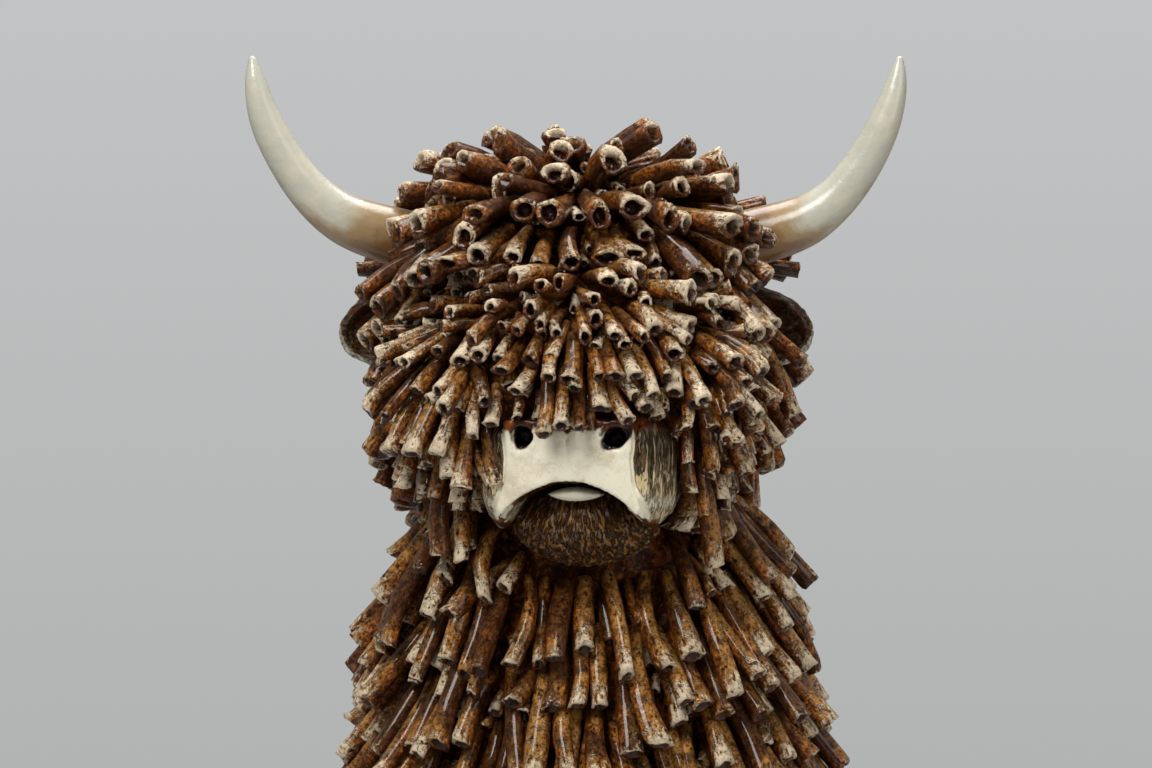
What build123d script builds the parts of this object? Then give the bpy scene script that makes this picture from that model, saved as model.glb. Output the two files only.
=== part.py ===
from build123d import *

# A seated Highland cow figurine, about 24 cm tall to the horn tips.
# Two solid cast cores, a ball for the head and a pear for the body, are pinned together at the neck. Smooth horns,
# cupped ears, a pale muzzle, cloven hooves and a tail are set into them, and both cores are covered with a coat of
# hollow clay rolls, laid in tiers like thatch: each roll is seated by its root and leans out over the tier below.
# Millimetres, +Z up, the face looks along -Y. The origin is on the ground, under the neck.

import math
import os
import random
from dataclasses import dataclass
from itertools import product

import numpy as np

# Head: a ball, with a smaller ball for the nose bridge and one for each cheek
head_radius = 41.5
head_height = 166.0
head_forward = 8.0
crown_lean = 12.0
bridge_radius = 23.5
bridge_forward = 35.0
bridge_drop = 7.0
cheek_radius = 22.0
cheek_out = 16.0
cheek_forward = 32.0
cheek_drop = 12.0

# Body pear
neck_sink = 16.5
body_side_shift = 2.5
body_half_width = 48.0
body_half_depth = 57.0
body_back_shift = 12.0
body_level_shares = (0.0, 0.07, 0.2, 0.4, 0.6, 0.74, 0.86, 1.0)
body_width_shares = (0.95, 1.0, 1.03, 0.99, 0.9, 0.82, 0.75, 0.68)
body_depth_shares = (0.93, 1.0, 1.0, 0.9, 0.77, 0.66, 0.58, 0.52)
body_shift_shares = (1.0, 1.0, 0.9, 0.55, 0.15, -0.2, -0.5, -0.6)
body_section_count = 15
body_level_count = 281
skin_step_share = 0.001

# Clay rolls of the coat
roll_root_radius = 2.1
roll_tip_radius = 2.75
roll_mouth_share = 0.74
roll_hollow_foot_share = 0.5
roll_hollow_depth = 5.0
roll_lean = 26.0
roll_turn = 8.0
roll_size_spread_share = 0.26
roll_growth_share = 0.5
roll_length_spread_share = 0.25
roll_side_gap = 0.3
roll_clearance = 0.15
roll_station_pitch = 1.1
site_stray_share = 0.13
seat_gap = 0.2
seated_share = 0.25
ground_gap = 0.8
plumb_lean = 5.0
layout_seed = 11

# Tries for each roll: its shares of length and of size, and how far it may lean away from the rest
try_length_shares = (1.0, 1.0, 1.0, 0.95, 0.95, 0.9, 0.9, 0.85, 0.8, 0.75, 0.7, 0.6, 0.5)
try_size_shares = (1.0, 1.0, 1.0, 1.0, 0.95, 0.95, 0.9, 0.9, 0.9, 0.85, 0.8, 0.8, 0.8)
try_lean_spread = 7.0
try_inward_share = 0.33
try_calm_share = 0.4

# Tiers of the coat
head_roll_length = 20.5
head_size_share = 1.12
head_tier_pitch = 9.4
head_tier_count = 11
head_first_tier_share = 0.7
head_lowest_slope = 44.0
crown_rise = 13.0
crown_further_lean = 12.0
crown_parting_turn = 24.0
crown_end = 32.0
forelock_start = 62.0
crown_tier_count = 2
forelock_half_angle = 50.0
forelock_group_count = 3
side_half_angle = 128.0
cheek_first_tier = 5
jowl_first_tier = 8
nape_split_tier = 6
body_roll_length = 27.0
body_tier_pitch = 11.2
body_tier_count = 12
body_group_count = 11
body_top_tier_drop = 9.4
ground_reach_share = 0.93
chest_half_angle = 80.0

# Short rolls over the nose bridge and the cheeks
face_axis_forward = 28.0
face_ring_radius = 30.0
face_roll_length = 14.5
face_size_share = 0.78
face_top_rise = 14.0
face_tier_pitch = 6.2
face_tier_count = 7
face_group_count = 6
face_half_angle = 105.0

# Rolls that fill the gaps, from long to short
filler_lengths = (20.0, 14.0, 9.0)
filler_size_shares = (0.95, 0.8, 0.64)
filler_counts_tried = (5000, 5000, 6000)
filler_lean_spread = 16.0
filler_turn_spread = 16.0
filler_lowest_share = 0.75

# Horns
horn_root_radius = 7.3
horn_reach = 49.5
horn_rise = 49.0
horn_root_out_share = 0.75
horn_root_up_share = 0.54
horn_forward_sweep = 7.0
horn_out_shares = (0.0, 0.2, 0.385, 0.557, 0.709, 0.84, 0.937, 0.984, 1.0)
horn_up_shares = (0.0, 0.082, 0.131, 0.2, 0.322, 0.504, 0.704, 0.878, 1.0)
horn_girth_shares = (1.0, 1.0, 0.97, 0.86, 0.74, 0.65, 0.54, 0.37, 0.15)
horn_section_count = 17
horn_spigot_radius = 3.5
horn_spigot_length = 12.0

# Ears
ear_length = 29.0
ear_height = 19.5
ear_depth = 11.0
ear_out_share = 1.09
ear_rise = 5.0
ear_droop = 14.0
ear_wall = 1.9
ear_tab_radius = 2.4
ear_tab_root = 3.0
ear_tab_back = 2.5
ear_tab_length = 9.0

# Muzzle
muzzle_side_shift = 1.8
muzzle_turn = 12.0
muzzle_width = 45.0
muzzle_height = 30.5
muzzle_drop = 15.0
muzzle_root = 26.0
muzzle_front = 60.0
muzzle_corner = 11.0
muzzle_run_shares = (0.0, 0.5, 0.82, 1.0)
muzzle_girth_shares = (0.94, 1.0, 0.97, 0.8)
pad_thickness = 1.3
pad_half_width = 18.5
pad_drop = 3.0
pad_height = 25.0
pad_out_shares = (0.88, 0.82, 0.84, 1.0, 0.92, 0.76, 0.6, 0.42, 0.22, 0.0)
pad_down_shares = (0.0, 0.38, 0.6, 0.92, 1.0, 0.94, 0.79, 0.67, 0.61, 0.6)
mouth_half_width = 17.0
mouth_rise = 8.5
mouth_corner_drop = 26.6
mouth_depth = 20.0
nostril_out = 11.2
nostril_drop = 7.2
nostril_half_width = 2.9
nostril_half_height = 2.4
nostril_depth = 3.6
nostril_view = 26.0
chin_half_width = 18.0
chin_half_depth = 16.0
chin_half_height = 10.4
chin_drop = 28.4
chin_set_back = 4.5
lip_half_width = 6.8
lip_half_height = 1.6
lip_half_depth = 3.0
lip_rise_share = 0.65

# Hooves
hoof_width = 21.0
hoof_length = 25.0
hoof_height = 15.0
hoof_cleft = 2.2
hoof_cleft_share = 0.55
hoof_top_share = 0.74
hoof_set_back = 3.5
fore_hoof_out = 19.0
fore_hoof_middle = 64.0
hind_hoof_out = 53.0
hind_hoof_middle = 40.0
hind_hoof_turn = 35.0
pastern_radius = 6.5
pastern_rise = 12.0
pastern_reach = 30.0

# Tail
tail_radius = 3.4
tail_standoff = 24.0
tail_root_height = 33.0
tail_height_shares = (1.0, 0.97, 0.42, 0.13, 0.13, 0.13)
tail_around = (90.0, 90.0, 86.0, 72.0, 54.0, 37.0)
tail_standoff_shares = (-0.3, 0.72, 1.03, 1.0, 0.98, 1.06)
tail_bend_share = 0.45
tuft_row_counts = (4, 3)
tuft_fan = 9.0
tuft_roll_length = 26.0

# Neck dowel, fits and felt
dowel_radius = 4.0
dowel_length = 56.0
dowel_sink_share = 0.5
fit_gap = 0.05
felt_thickness = 1.5
felt_margin = 3.0

cut_overrun = 2.0

# Balls that stand for the set-in pieces while the coat is laid
ear_ball_count = 7
ear_ball_share = 0.25
muzzle_ball_count = 5
nostril_ball_count = 9
hoof_ball_share = 0.33
hoof_ball_pitch_share = 0.2
limb_ball_count = 12

# Heights and places that follow from the sizes above
body_height = head_height - head_radius + neck_sink
body_top_tier_height = body_height - body_top_tier_drop
muzzle_top_height = head_height - muzzle_drop
muzzle_middle_height = muzzle_top_height - muzzle_height / 2
pad_top_height = muzzle_top_height - pad_drop
nostril_height = muzzle_top_height - nostril_drop
chin_height = muzzle_top_height - chin_drop
chin_front = head_forward + muzzle_front - chin_set_back
muzzle_root_place = head_forward + muzzle_root
muzzle_front_place = head_forward + muzzle_front


def unit(vector):
    """The vector at a length of one."""
    return vector / np.linalg.norm(vector)


def between(places, values, at):
    """A smooth curve through values that stand at places, read at one place."""
    last = len(places) - 1
    at = min(max(at, places[0]), places[last])
    n = max(i for i in range(last) if places[i] <= at)
    span = places[n + 1] - places[n]

    def slope(i):
        low, high = max(i - 1, 0), min(i + 1, last)
        return (values[high] - values[low]) / (places[high] - places[low])

    t = (at - places[n]) / span
    rise = 3 * t**2 - 2 * t**3
    leave = (t**3 - 2 * t**2 + t) * slope(n)
    arrive = (t**3 - t**2) * slope(n + 1)
    return values[n] + (values[n + 1] - values[n]) * rise + span * (leave + arrive)


def facing(point, way):
    """A plane at the point, whose normal goes the given way."""
    return Plane(origin=tuple(point), z_dir=tuple(way))


def rod(start, way, radius, length):
    """A cylinder from a start point along a direction."""
    return facing(start, way) * Cylinder(radius, length, align=(Align.CENTER, Align.CENTER, Align.MIN))


def ellipsoid(half_width, half_depth, half_height, turn=Rot(0, 0, 90)):
    """An ellipsoid about the origin. The turn sets where its seam and poles lie: as given, at the back and on end."""
    return scale(turn * Sphere(1), by=(half_width, half_depth, half_height))


def spot(place, x, y, z):
    """A point of a placed piece's own frame, as it lies in the part's frame."""
    return np.array(tuple((place * Pos(x, y, z)).position))


# Head form

head_centre = np.array([0.0, -head_forward, head_height])
form_centres = head_centre + np.array(
    [
        [0.0, 0.0, 0.0],
        [0.0, -bridge_forward, -bridge_drop],
        [-cheek_out, -cheek_forward, -cheek_drop],
        [cheek_out, -cheek_forward, -cheek_drop],
    ]
)
form_radii = np.array([head_radius, bridge_radius, cheek_radius, cheek_radius])


def head_form():
    """The head's ball joined with those of the bridge and the cheeks, each with its seam at the back."""
    balls = [Pos(*centre) * Rot(0, 0, 90) * Sphere(radius) for centre, radius in zip(form_centres, form_radii)]
    return balls[0] + balls[1] + balls[2] + balls[3]


def head_distance(points):
    """How far outside the head form each point lies."""
    return np.min(np.linalg.norm(points[:, None] - form_centres[None], axis=2) - form_radii, axis=1)


def form_skin(start, way):
    """Where a line from inside the head form leaves it: the point, its normal and whether it is on the ball."""
    offsets = form_centres - start
    along = offsets @ way
    inner = along**2 - np.sum(offsets**2, axis=1) + form_radii**2
    reach = np.where(inner > 0, along + np.sqrt(np.maximum(inner, 0)), 0)
    ball = int(np.argmax(reach))
    point = start + way * reach[ball]
    return point, unit(point - form_centres[ball]), ball == 0


def in_skin(way, normal):
    """The part of a direction that runs along the skin."""
    return unit(way - normal * float(np.dot(way, normal)))


def head_skin(from_crown, around):
    """The skin point, normal, comb and whether it is on the ball, by degrees from the crown and around it."""
    lean = math.radians(crown_lean)
    crown = np.array([0.0, math.sin(lean), math.cos(lean)])
    back = np.array([0.0, math.cos(lean), -math.sin(lean)])
    side = np.array([1.0, 0.0, 0.0])
    down, turn = math.radians(from_crown), math.radians(around)
    level = math.cos(turn) * side + math.sin(turn) * back
    skin, normal, on_ball = form_skin(head_centre, math.cos(down) * crown + math.sin(down) * level)
    combed = in_skin(-math.sin(down) * crown + math.cos(down) * level, normal)
    return skin, normal, combed, on_ball


def face_skin(height, around):
    """The same over the face, by height and by degrees around an upright line behind it."""
    start = np.array([0.0, -head_forward - face_axis_forward, height])
    turn = math.radians(around)
    skin, normal, on_ball = form_skin(start, np.array([math.cos(turn), math.sin(turn), 0.0]))
    return skin, normal, in_skin(np.array([0.0, 0.0, -1.0]), normal), on_ball


# Body pear

def body_section(height):
    """Half width, half depth and middle of the pear at one height."""
    level = (height - felt_thickness) / (body_height - felt_thickness)
    return (
        body_half_width * between(body_level_shares, body_width_shares, level),
        body_half_depth * between(body_level_shares, body_depth_shares, level),
        body_back_shift * between(body_level_shares, body_shift_shares, level),
    )


def body_point(height, around):
    """The skin point at one height and one angle, which is 0 at +X and -90 at the chest."""
    half_width, half_depth, middle = body_section(height)
    turn = math.radians(around)
    return np.array([body_side_shift + half_width * math.cos(turn), middle + half_depth * math.sin(turn), height])


def body_skin(height, around):
    """The skin point, its outward normal and the way downhill."""
    step = body_height * skin_step_share
    down = unit(body_point(height - step, around) - body_point(height + step, around))
    along = unit(body_point(height, around + 1) - body_point(height, around - 1))
    return body_point(height, around), unit(np.cross(down, along)), down


body_levels = np.linspace(felt_thickness, body_height, body_level_count)
body_table = np.array([body_section(height) for height in body_levels])
body_slopes = np.gradient(body_table, body_levels, axis=0)


def body_distance(points):
    """About how far outside the pear each point lies: the section's own measure, over how fast that measure grows."""
    heights = np.clip(points[:, 2], felt_thickness, body_height)
    half_width, half_depth, middle = (np.interp(heights, body_levels, column) for column in body_table.T)
    width_slope, depth_slope, shift_slope = (np.interp(heights, body_levels, column) for column in body_slopes.T)
    across = (points[:, 0] - body_side_shift) / half_width
    along = (points[:, 1] - middle) / half_depth
    out = np.hypot(across, along)
    rise = (across**2 * width_slope / half_width + along**2 * depth_slope / half_depth + along * shift_slope / half_depth)
    growth = np.sqrt((across / half_width) ** 2 + (along / half_depth) ** 2 + rise**2) / out
    return np.maximum((out - 1) / growth, points[:, 2] - body_height)


def body_pear():
    """The plain pear of the body, lofted through ellipses."""
    sections = []
    for n in range(body_section_count):
        height = felt_thickness + (body_height - felt_thickness) * n / (body_section_count - 1)
        half_width, half_depth, middle = body_section(height)
        sections.append(Plane.XY.offset(height) * Pos(body_side_shift, middle) * Ellipse(half_width, half_depth))
    return loft(sections)


# Neck dowel, felt and the cores

dowel_foot = np.array([0.0, -head_forward, head_height - head_radius - dowel_length * dowel_sink_share])
upward = np.array([0.0, 0.0, 1.0])


def neck_dowel():
    """The steel pin between body and head."""
    return rod(dowel_foot, upward, dowel_radius, dowel_length)


def dowel_bore():
    """The hole that the neck dowel sits in."""
    return rod(dowel_foot - fit_gap * upward, upward, dowel_radius + fit_gap, dowel_length + 2 * fit_gap)


def body_core(pear, form):
    """The body, with a cup at the top for the head and a bore for the dowel."""
    return pear - form - dowel_bore()


def head_core(form):
    """The head, with a bore for the dowel and sockets for the horns and ears."""
    core = form - dowel_bore()
    for hole in (horn_socket(), ear_socket()):
        core -= hole
        core -= hole.mirror(Plane.YZ)
    return core


def base_felt():
    """The felt pad glued under the body."""
    half_width, half_depth, middle = body_section(felt_thickness)
    outline = Pos(body_side_shift, middle) * Ellipse(half_width - felt_margin, half_depth - felt_margin)
    return extrude(outline, felt_thickness)


# Horns

def horn_line():
    """Centres and radii along the right horn, from inside the head to the tip."""
    steps = np.linspace(0, 1, len(horn_out_shares))
    root = head_centre + head_radius * np.array([horn_root_out_share, 0.0, horn_root_up_share])
    centres, radii = [], []
    for at in np.linspace(0, 1, horn_section_count):
        out, up = between(steps, horn_out_shares, at), between(steps, horn_up_shares, at)
        girth = between(steps, horn_girth_shares, at)
        centres.append(root + np.array([horn_reach * out, -horn_forward_sweep * out**2, horn_rise * up]))
        radii.append(horn_root_radius * girth)
    return centres, radii


def horn_seat():
    """Where the horn's axis leaves the head ball, and the way into the head."""
    outward = unit(horn_line()[0][0] - head_centre)
    return head_centre + head_radius * outward, -outward


def horn(form):
    """The right horn: a tapering curve with a round tip, and a spigot at its root."""
    centres, radii = horn_line()
    sections = []
    for n, (centre, radius) in enumerate(zip(centres, radii)):
        before, after = centres[max(n - 1, 0)], centres[min(n + 1, len(centres) - 1)]
        plane = Plane(origin=tuple(centre), x_dir=(0, 1, 0), z_dir=tuple(unit(after - before)))
        sections.append(plane * Circle(radius))
    blade = loft(sections) + Pos(*centres[-1]) * Sphere(radii[-1]) - form
    seat, inward = horn_seat()
    start = seat - inward * horn_root_radius / 2
    return blade + rod(start, inward, horn_spigot_radius, horn_spigot_length + horn_root_radius / 2)


def horn_socket():
    """The hole that the right horn's spigot fits."""
    seat, inward = horn_seat()
    start = seat - inward * cut_overrun
    return rod(start, inward, horn_spigot_radius + fit_gap, horn_spigot_length + cut_overrun + fit_gap)


# Ears

def ear_place():
    """The right ear's middle and its turn."""
    return Pos(head_radius * ear_out_share, -head_forward, head_height + ear_rise) * Rot(0, ear_droop, 0)


def ear_seat():
    """Where the ear's tab enters the head ball, and the way into the head."""
    outward = unit(np.array([head_radius * ear_out_share, ear_tab_back, ear_rise]))
    return head_centre + head_radius * outward, -outward


def ear(form):
    """The right ear: a cupped leaf that opens to the front, with a round tab at its root."""
    on_side = Rot(0, 90, 0)
    leaf = ellipsoid(ear_length / 2, ear_depth / 2, ear_height / 2, on_side)
    cup = ellipsoid(ear_length / 2 - ear_wall, ear_depth / 2, ear_height / 2 - ear_wall, on_side)
    shell = ear_place() * (leaf - Pos(0, -2 * ear_wall, 0) * cup) - form
    seat, inward = ear_seat()
    return shell + rod(seat - inward * ear_tab_root, inward, ear_tab_radius, ear_tab_length + ear_tab_root)


def ear_socket():
    """The hole that the right ear's tab fits."""
    seat, inward = ear_seat()
    start = seat - inward * cut_overrun
    return rod(start, inward, ear_tab_radius + fit_gap, ear_tab_length + cut_overrun + fit_gap)


# Muzzle

def muzzle_place():
    """The muzzle's own frame: its side shift and its turn about a line through its middle."""
    middle = (muzzle_root_place + muzzle_front_place) / 2
    return Pos(muzzle_side_shift, -middle, 0) * Rot(0, 0, -muzzle_turn) * Pos(0, middle, 0)


def muzzle_block(extra):
    """The rounded block of the muzzle, larger by extra at the sides and the front."""
    sections = []
    for run, girth in zip(muzzle_run_shares, muzzle_girth_shares):
        forward = muzzle_root_place + (muzzle_front + extra - muzzle_root) * run
        width = muzzle_width * girth + 2 * extra
        height = muzzle_height * girth + 2 * extra
        plane = Plane(origin=(0, -forward, muzzle_middle_height), x_dir=(1, 0, 0), z_dir=(0, -1, 0))
        sections.append(plane * RectangleRounded(width, height, muzzle_corner * girth + extra))
    return loft(sections)


def mouth_arch():
    """The round space under the nose pad that the chin fills."""
    radius = (mouth_half_width**2 + mouth_rise**2) / (2 * mouth_rise)
    middle = muzzle_top_height - mouth_corner_drop + mouth_rise - radius
    start = np.array([0.0, -muzzle_front_place - pad_thickness - cut_overrun, middle])
    return rod(start, np.array([0.0, 1.0, 0.0]), radius, mouth_depth + pad_thickness + cut_overrun)


def nostrils(depth):
    """Two round pits in the front of the muzzle."""
    pits = []
    for side in (-1, 1):
        pit = ellipsoid(nostril_half_width, depth, nostril_half_height)
        pits.append(Pos(side * nostril_out, -muzzle_front_place - pad_thickness, nostril_height) * pit)
    return pits


def snout(form, pear):
    """The muzzle behind the nose pad, with the mouth cut out of it."""
    block = muzzle_block(0) - mouth_arch()
    for pit in nostrils(nostril_depth + pad_thickness):
        block -= pit
    return muzzle_place() * block - form - pear


def nose_pad(form):
    """The smooth plate over the muzzle's front, with its arched lower edge and the nostrils."""
    half = [
        (pad_half_width * out, pad_top_height - pad_height * down)
        for out, down in zip(pad_out_shares, pad_down_shares)
    ]
    outline = half + [(-x, z) for x, z in reversed(half[:-1])]
    face = make_face(Polyline(*outline, close=True))
    behind = -(muzzle_root_place + muzzle_front_place) / 2
    middle = Plane(origin=(0, behind, 0), x_dir=(1, 0, 0), z_dir=(0, -1, 0))
    prism = extrude(middle * face, muzzle_front)
    pad = (muzzle_block(pad_thickness) - muzzle_block(0)) & prism
    pad -= mouth_arch()
    for pit in nostrils(nostril_depth + pad_thickness):
        pad -= pit
    return muzzle_place() * pad - form


def chin(form, pear, made_snout):
    """The round lower jaw that fills the mouth's arch."""
    jaw = ellipsoid(chin_half_width, chin_half_depth, chin_half_height)
    jaw = muzzle_place() * Pos(0, chin_half_depth - chin_front, chin_height) * jaw
    return jaw - made_snout - form - pear


def lower_lip(made_chin, made_snout):
    """The pale lip along the top of the chin."""
    forward = chin_front - chin_half_depth + chin_half_depth * math.sqrt(1 - lip_rise_share**2)
    lip_height = chin_height + chin_half_height * lip_rise_share
    lip = ellipsoid(lip_half_width, lip_half_depth, lip_half_height)
    return muzzle_place() * Pos(0, -forward, lip_height) * lip - made_chin - made_snout


# Hooves

def hoof():
    """A cloven hoof on the ground, toes towards -Y, with its middle at the origin."""
    sole = Ellipse(hoof_width / 2, hoof_length / 2)
    top = Ellipse(hoof_width * hoof_top_share / 2, hoof_length * hoof_top_share / 2)
    block = loft([sole, Plane.XY.offset(hoof_height) * Pos(0, hoof_set_back) * top])
    cleft_length = hoof_length * hoof_cleft_share
    cleft = Pos(0, (cleft_length - hoof_length - cut_overrun) / 2, hoof_height / 2) * Box(
        hoof_cleft, cleft_length + cut_overrun, hoof_height + 2 * cut_overrun
    )
    return block - cleft


def hoof_places():
    """Each hoof's place and turn, in the order of their names."""
    sides = ((fore_hoof_out, fore_hoof_middle, 0), (hind_hoof_out, hind_hoof_middle, hind_hoof_turn))
    return {
        f"{pair}_hoof_{side}": Pos(body_side_shift + sign * out, -forward, 0) * Rot(0, 0, sign * turn)
        for pair, (out, forward, turn) in zip(("fore", "hind"), sides)
        for side, sign in (("left", -1), ("right", 1))
    }


def pastern_line():
    """Where the pastern's axis starts in the hoof's own frame, and the way it rises to the body."""
    start = np.array([0.0, hoof_set_back, hoof_height - pastern_radius])
    return start, unit(np.array([0.0, pastern_reach, pastern_rise]))


def placed_hoof(place, pear):
    """A hoof at its place, with the pastern that joins it to the body."""
    start, way = pastern_line()
    return place * (hoof() + rod(start, way, pastern_radius, pastern_reach)) - pear


# Tail

def tail_points():
    """The corners of the tail's line, out of the rump, down and round to the right along the ground."""
    points = []
    for height_share, around, share in zip(tail_height_shares, tail_around, tail_standoff_shares):
        height = tail_root_height * height_share
        skin, normal, _ = body_skin(height, around)
        level = unit(np.array([normal[0], normal[1], 0.0]))
        points.append(skin + level * tail_standoff * share)
    return points


def bend_radii(points):
    """The widest round bend that the two runs at each inner corner leave room for."""
    radii = []
    for before, corner, after in zip(points, points[1:], points[2:]):
        run_in, run_out = corner - before, after - corner
        turn = math.acos(float(np.dot(unit(run_in), unit(run_out))))
        shorter = min(np.linalg.norm(run_in), np.linalg.norm(run_out))
        radii.append(float(tail_bend_share * shorter / math.tan(turn / 2)))
    return radii


def tail(pear):
    """The tail's rope, bedded in the rump."""
    corners = tail_points()
    path = FilletPolyline(*[tuple(p) for p in corners], radius=bend_radii(corners))
    rope = sweep(Plane(origin=path @ 0, z_dir=path % 0) * Circle(tail_radius), path=path)
    return rope - pear


# Rolls

@dataclass
class Roll:
    """One clay roll: where its root is, the way it points and its size."""

    root: np.ndarray
    way: np.ndarray
    length: float
    size: float

    def radius_at(self, share):
        """The outer radius, at a share of the length from the root."""
        return self.size * (roll_root_radius + (roll_tip_radius - roll_root_radius) * share)

    def stations(self):
        """Points along the axis, and the outer radius at each."""
        count = max(int(self.length / roll_station_pitch), 2)
        shares = np.linspace(0, 1, count + 1)
        points = self.root + np.outer(shares, self.way) * self.length
        return points, np.array([self.radius_at(s) for s in shares])

    def solid(self):
        """A tapered tube, open at its tip and closed at its root."""
        root, tip = self.radius_at(0), self.radius_at(1)
        foot = self.length - min(roll_hollow_depth, self.length / 2)
        outline = Polyline(
            (0, 0),
            (root, 0),
            (tip, self.length),
            (tip * roll_mouth_share, self.length),
            (tip * roll_hollow_foot_share, foot),
            (0, foot),
            close=True,
        )
        return facing(self.root, self.way) * revolve(make_face(Plane.XZ * outline), Axis.Z)


def swung(normal, combed, turn):
    """The combing direction, turned sideways in the skin."""
    spin = math.radians(turn)
    return math.cos(spin) * combed + math.sin(spin) * np.cross(normal, combed)


def leaning(skin, normal, combed, lean, turn, length, size):
    """A roll seated on the skin, leaning out from it, and turned sideways in it. None leans inward past plumb."""
    combed = swung(normal, combed, turn)
    tilt = math.radians(lean)
    way = math.cos(tilt) * combed + math.sin(tilt) * normal
    outward = unit(np.array([normal[0], normal[1], 0.0]))
    least = math.sin(math.radians(plumb_lean))
    inward_by = least - float(np.dot(way, outward))
    if inward_by > 0:
        way = unit(way + outward * inward_by)
    tilt = math.asin(float(np.dot(way, normal)))
    height = size * roll_root_radius * math.cos(tilt) + seat_gap
    return Roll(skin + normal * height, way, length, size)


class Coat:
    """The rolls laid so far, in named groups, and the solids that they keep clear of."""

    def __init__(self):
        self.groups = {}
        self.points, self.radii = obstacle_balls()

    def fits(self, roll, on_head):
        """Whether the roll clears the ground, both cores, the set-in pieces and every other roll."""
        points, radii = roll.stations()
        if np.min(points[:, 2] - radii) < ground_gap:
            return False
        reach = roll.length + roll_tip_radius * 2 + roll_clearance + horn_root_radius * 2
        near = np.linalg.norm(self.points - roll.root, axis=1) < reach
        apart = np.linalg.norm(points[:, None] - self.points[near][None], axis=2)
        if np.any(apart < radii[:, None] + self.radii[near][None] + roll_clearance):
            return False
        free = int(len(points) * seated_share)
        on_own, other = (head_distance, body_distance) if on_head else (body_distance, head_distance)
        if np.any(on_own(points[free:]) < radii[free:] + seat_gap):
            return False
        return bool(np.all(other(points) > radii + seat_gap))

    def add(self, roll, group):
        """Keeps the roll under its group's name."""
        points, radii = roll.stations()
        self.points = np.concatenate([self.points, points])
        self.radii = np.concatenate([self.radii, radii])
        self.groups.setdefault(group, []).append(roll)


def obstacle_balls():
    """Balls that fill the horns, ears, muzzle, chin, hooves and tail and the view of the nostrils."""
    balls = []
    for centre, radius in zip(*horn_line()):
        balls += [(centre * np.array([side, 1, 1]), radius + seat_gap) for side in (-1, 1)]

    ear_ball = ear_height * ear_ball_share
    for along, up in product(np.linspace(-1, 1, ear_ball_count), (-1, 1)):
        middle = spot(ear_place(), along * (ear_length / 2 - ear_ball), 0, up * ear_ball)
        balls += [(middle * np.array([side, 1, 1]), ear_ball + ear_wall / 2) for side in (-1, 1)]

    across, rise = muzzle_width / 2 - muzzle_corner, muzzle_height / 2 - muzzle_corner
    runs = np.linspace(muzzle_root_place + muzzle_corner / 2, muzzle_front_place - muzzle_corner, muzzle_ball_count)
    for run, side, up in product(runs, np.linspace(-1, 1, muzzle_ball_count), (-1, 0, 1)):
        middle = spot(muzzle_place(), side * across, -run, muzzle_middle_height + up * rise)
        balls.append((middle, muzzle_corner + pad_thickness))
    for side, inset in product((-1, 0, 1), (0, 1, 2)):
        out = side * (chin_half_width - chin_half_height)
        depth = chin_front - chin_half_height - inset * (chin_half_depth - chin_half_height)
        balls.append((spot(muzzle_place(), out, -depth, chin_height), chin_half_height + 2 * seat_gap))
    for side in (-1, 1):
        pit = spot(muzzle_place(), side * nostril_out, -muzzle_front_place, nostril_height)
        for out in np.linspace(0, nostril_view, nostril_ball_count):
            balls.append((pit - np.array([0.0, out, 0.0]), nostril_half_width))

    start, way = pastern_line()
    for place in hoof_places().values():
        for side, along in product((-1, 1), (-1, 0, 1)):
            out, ahead = side * hoof_width * hoof_ball_pitch_share, along * hoof_length * hoof_ball_pitch_share
            balls.append((spot(place, out, ahead, hoof_height / 2), hoof_length * hoof_ball_share))
        for share in np.linspace(0, 1, limb_ball_count):
            middle = spot(place, *(start + way * pastern_reach * share))
            balls.append((middle, pastern_radius + seat_gap))

    corners = tail_points()
    for start, end in zip(corners, corners[1:]):
        shares = np.linspace(0, 1, limb_ball_count)
        balls += [(start + (end - start) * share, tail_radius + seat_gap) for share in shares]
    return np.array([ball[0] for ball in balls]), np.array([ball[1] for ball in balls])


def head_group(tier, normal):
    """The name of the group that a roll on the ball belongs to, by its tier and by where its root looks."""
    if tier < crown_tier_count:
        return "crown_rolls"
    off_front = abs(math.degrees(math.atan2(normal[0], -normal[1])))
    side = "left" if normal[0] < 0 else "right"
    if off_front < forelock_half_angle:
        return f"forelock_rolls_{min(tier - crown_tier_count + 1, forelock_group_count)}"
    if off_front < side_half_angle:
        name = ("temple_rolls", "cheek_rolls", "jowl_rolls")[(tier >= cheek_first_tier) + (tier >= jowl_first_tier)]
        return f"{name}_{side}"
    return "nape_rolls_upper" if tier < nape_split_tier else "nape_rolls_lower"


def face_group(height):
    """The name of the group that a roll on the face belongs to, by the height of its root."""
    tier = round((head_height + face_top_rise - height) / face_tier_pitch)
    return f"face_rolls_{min(max(tier, 0) + 1, face_group_count)}"


def body_group(tier, around):
    """The name of the group that a body roll belongs to, by its tier and its place around the body."""
    off_chest = abs((around + 90 + 180) % 360 - 180)
    place = "chest" if off_chest < chest_half_angle else "back"
    return f"{place}_rolls_{min(tier, body_group_count - 1) + 1}"


def dice_for(*site):
    """The chances of one site, which no other site changes."""
    return random.Random(" ".join(map(str, (layout_seed, *site))))


def varied(dice, spread):
    """A number near one, up to spread away from it."""
    return 1 + dice.uniform(-spread, spread)


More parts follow.
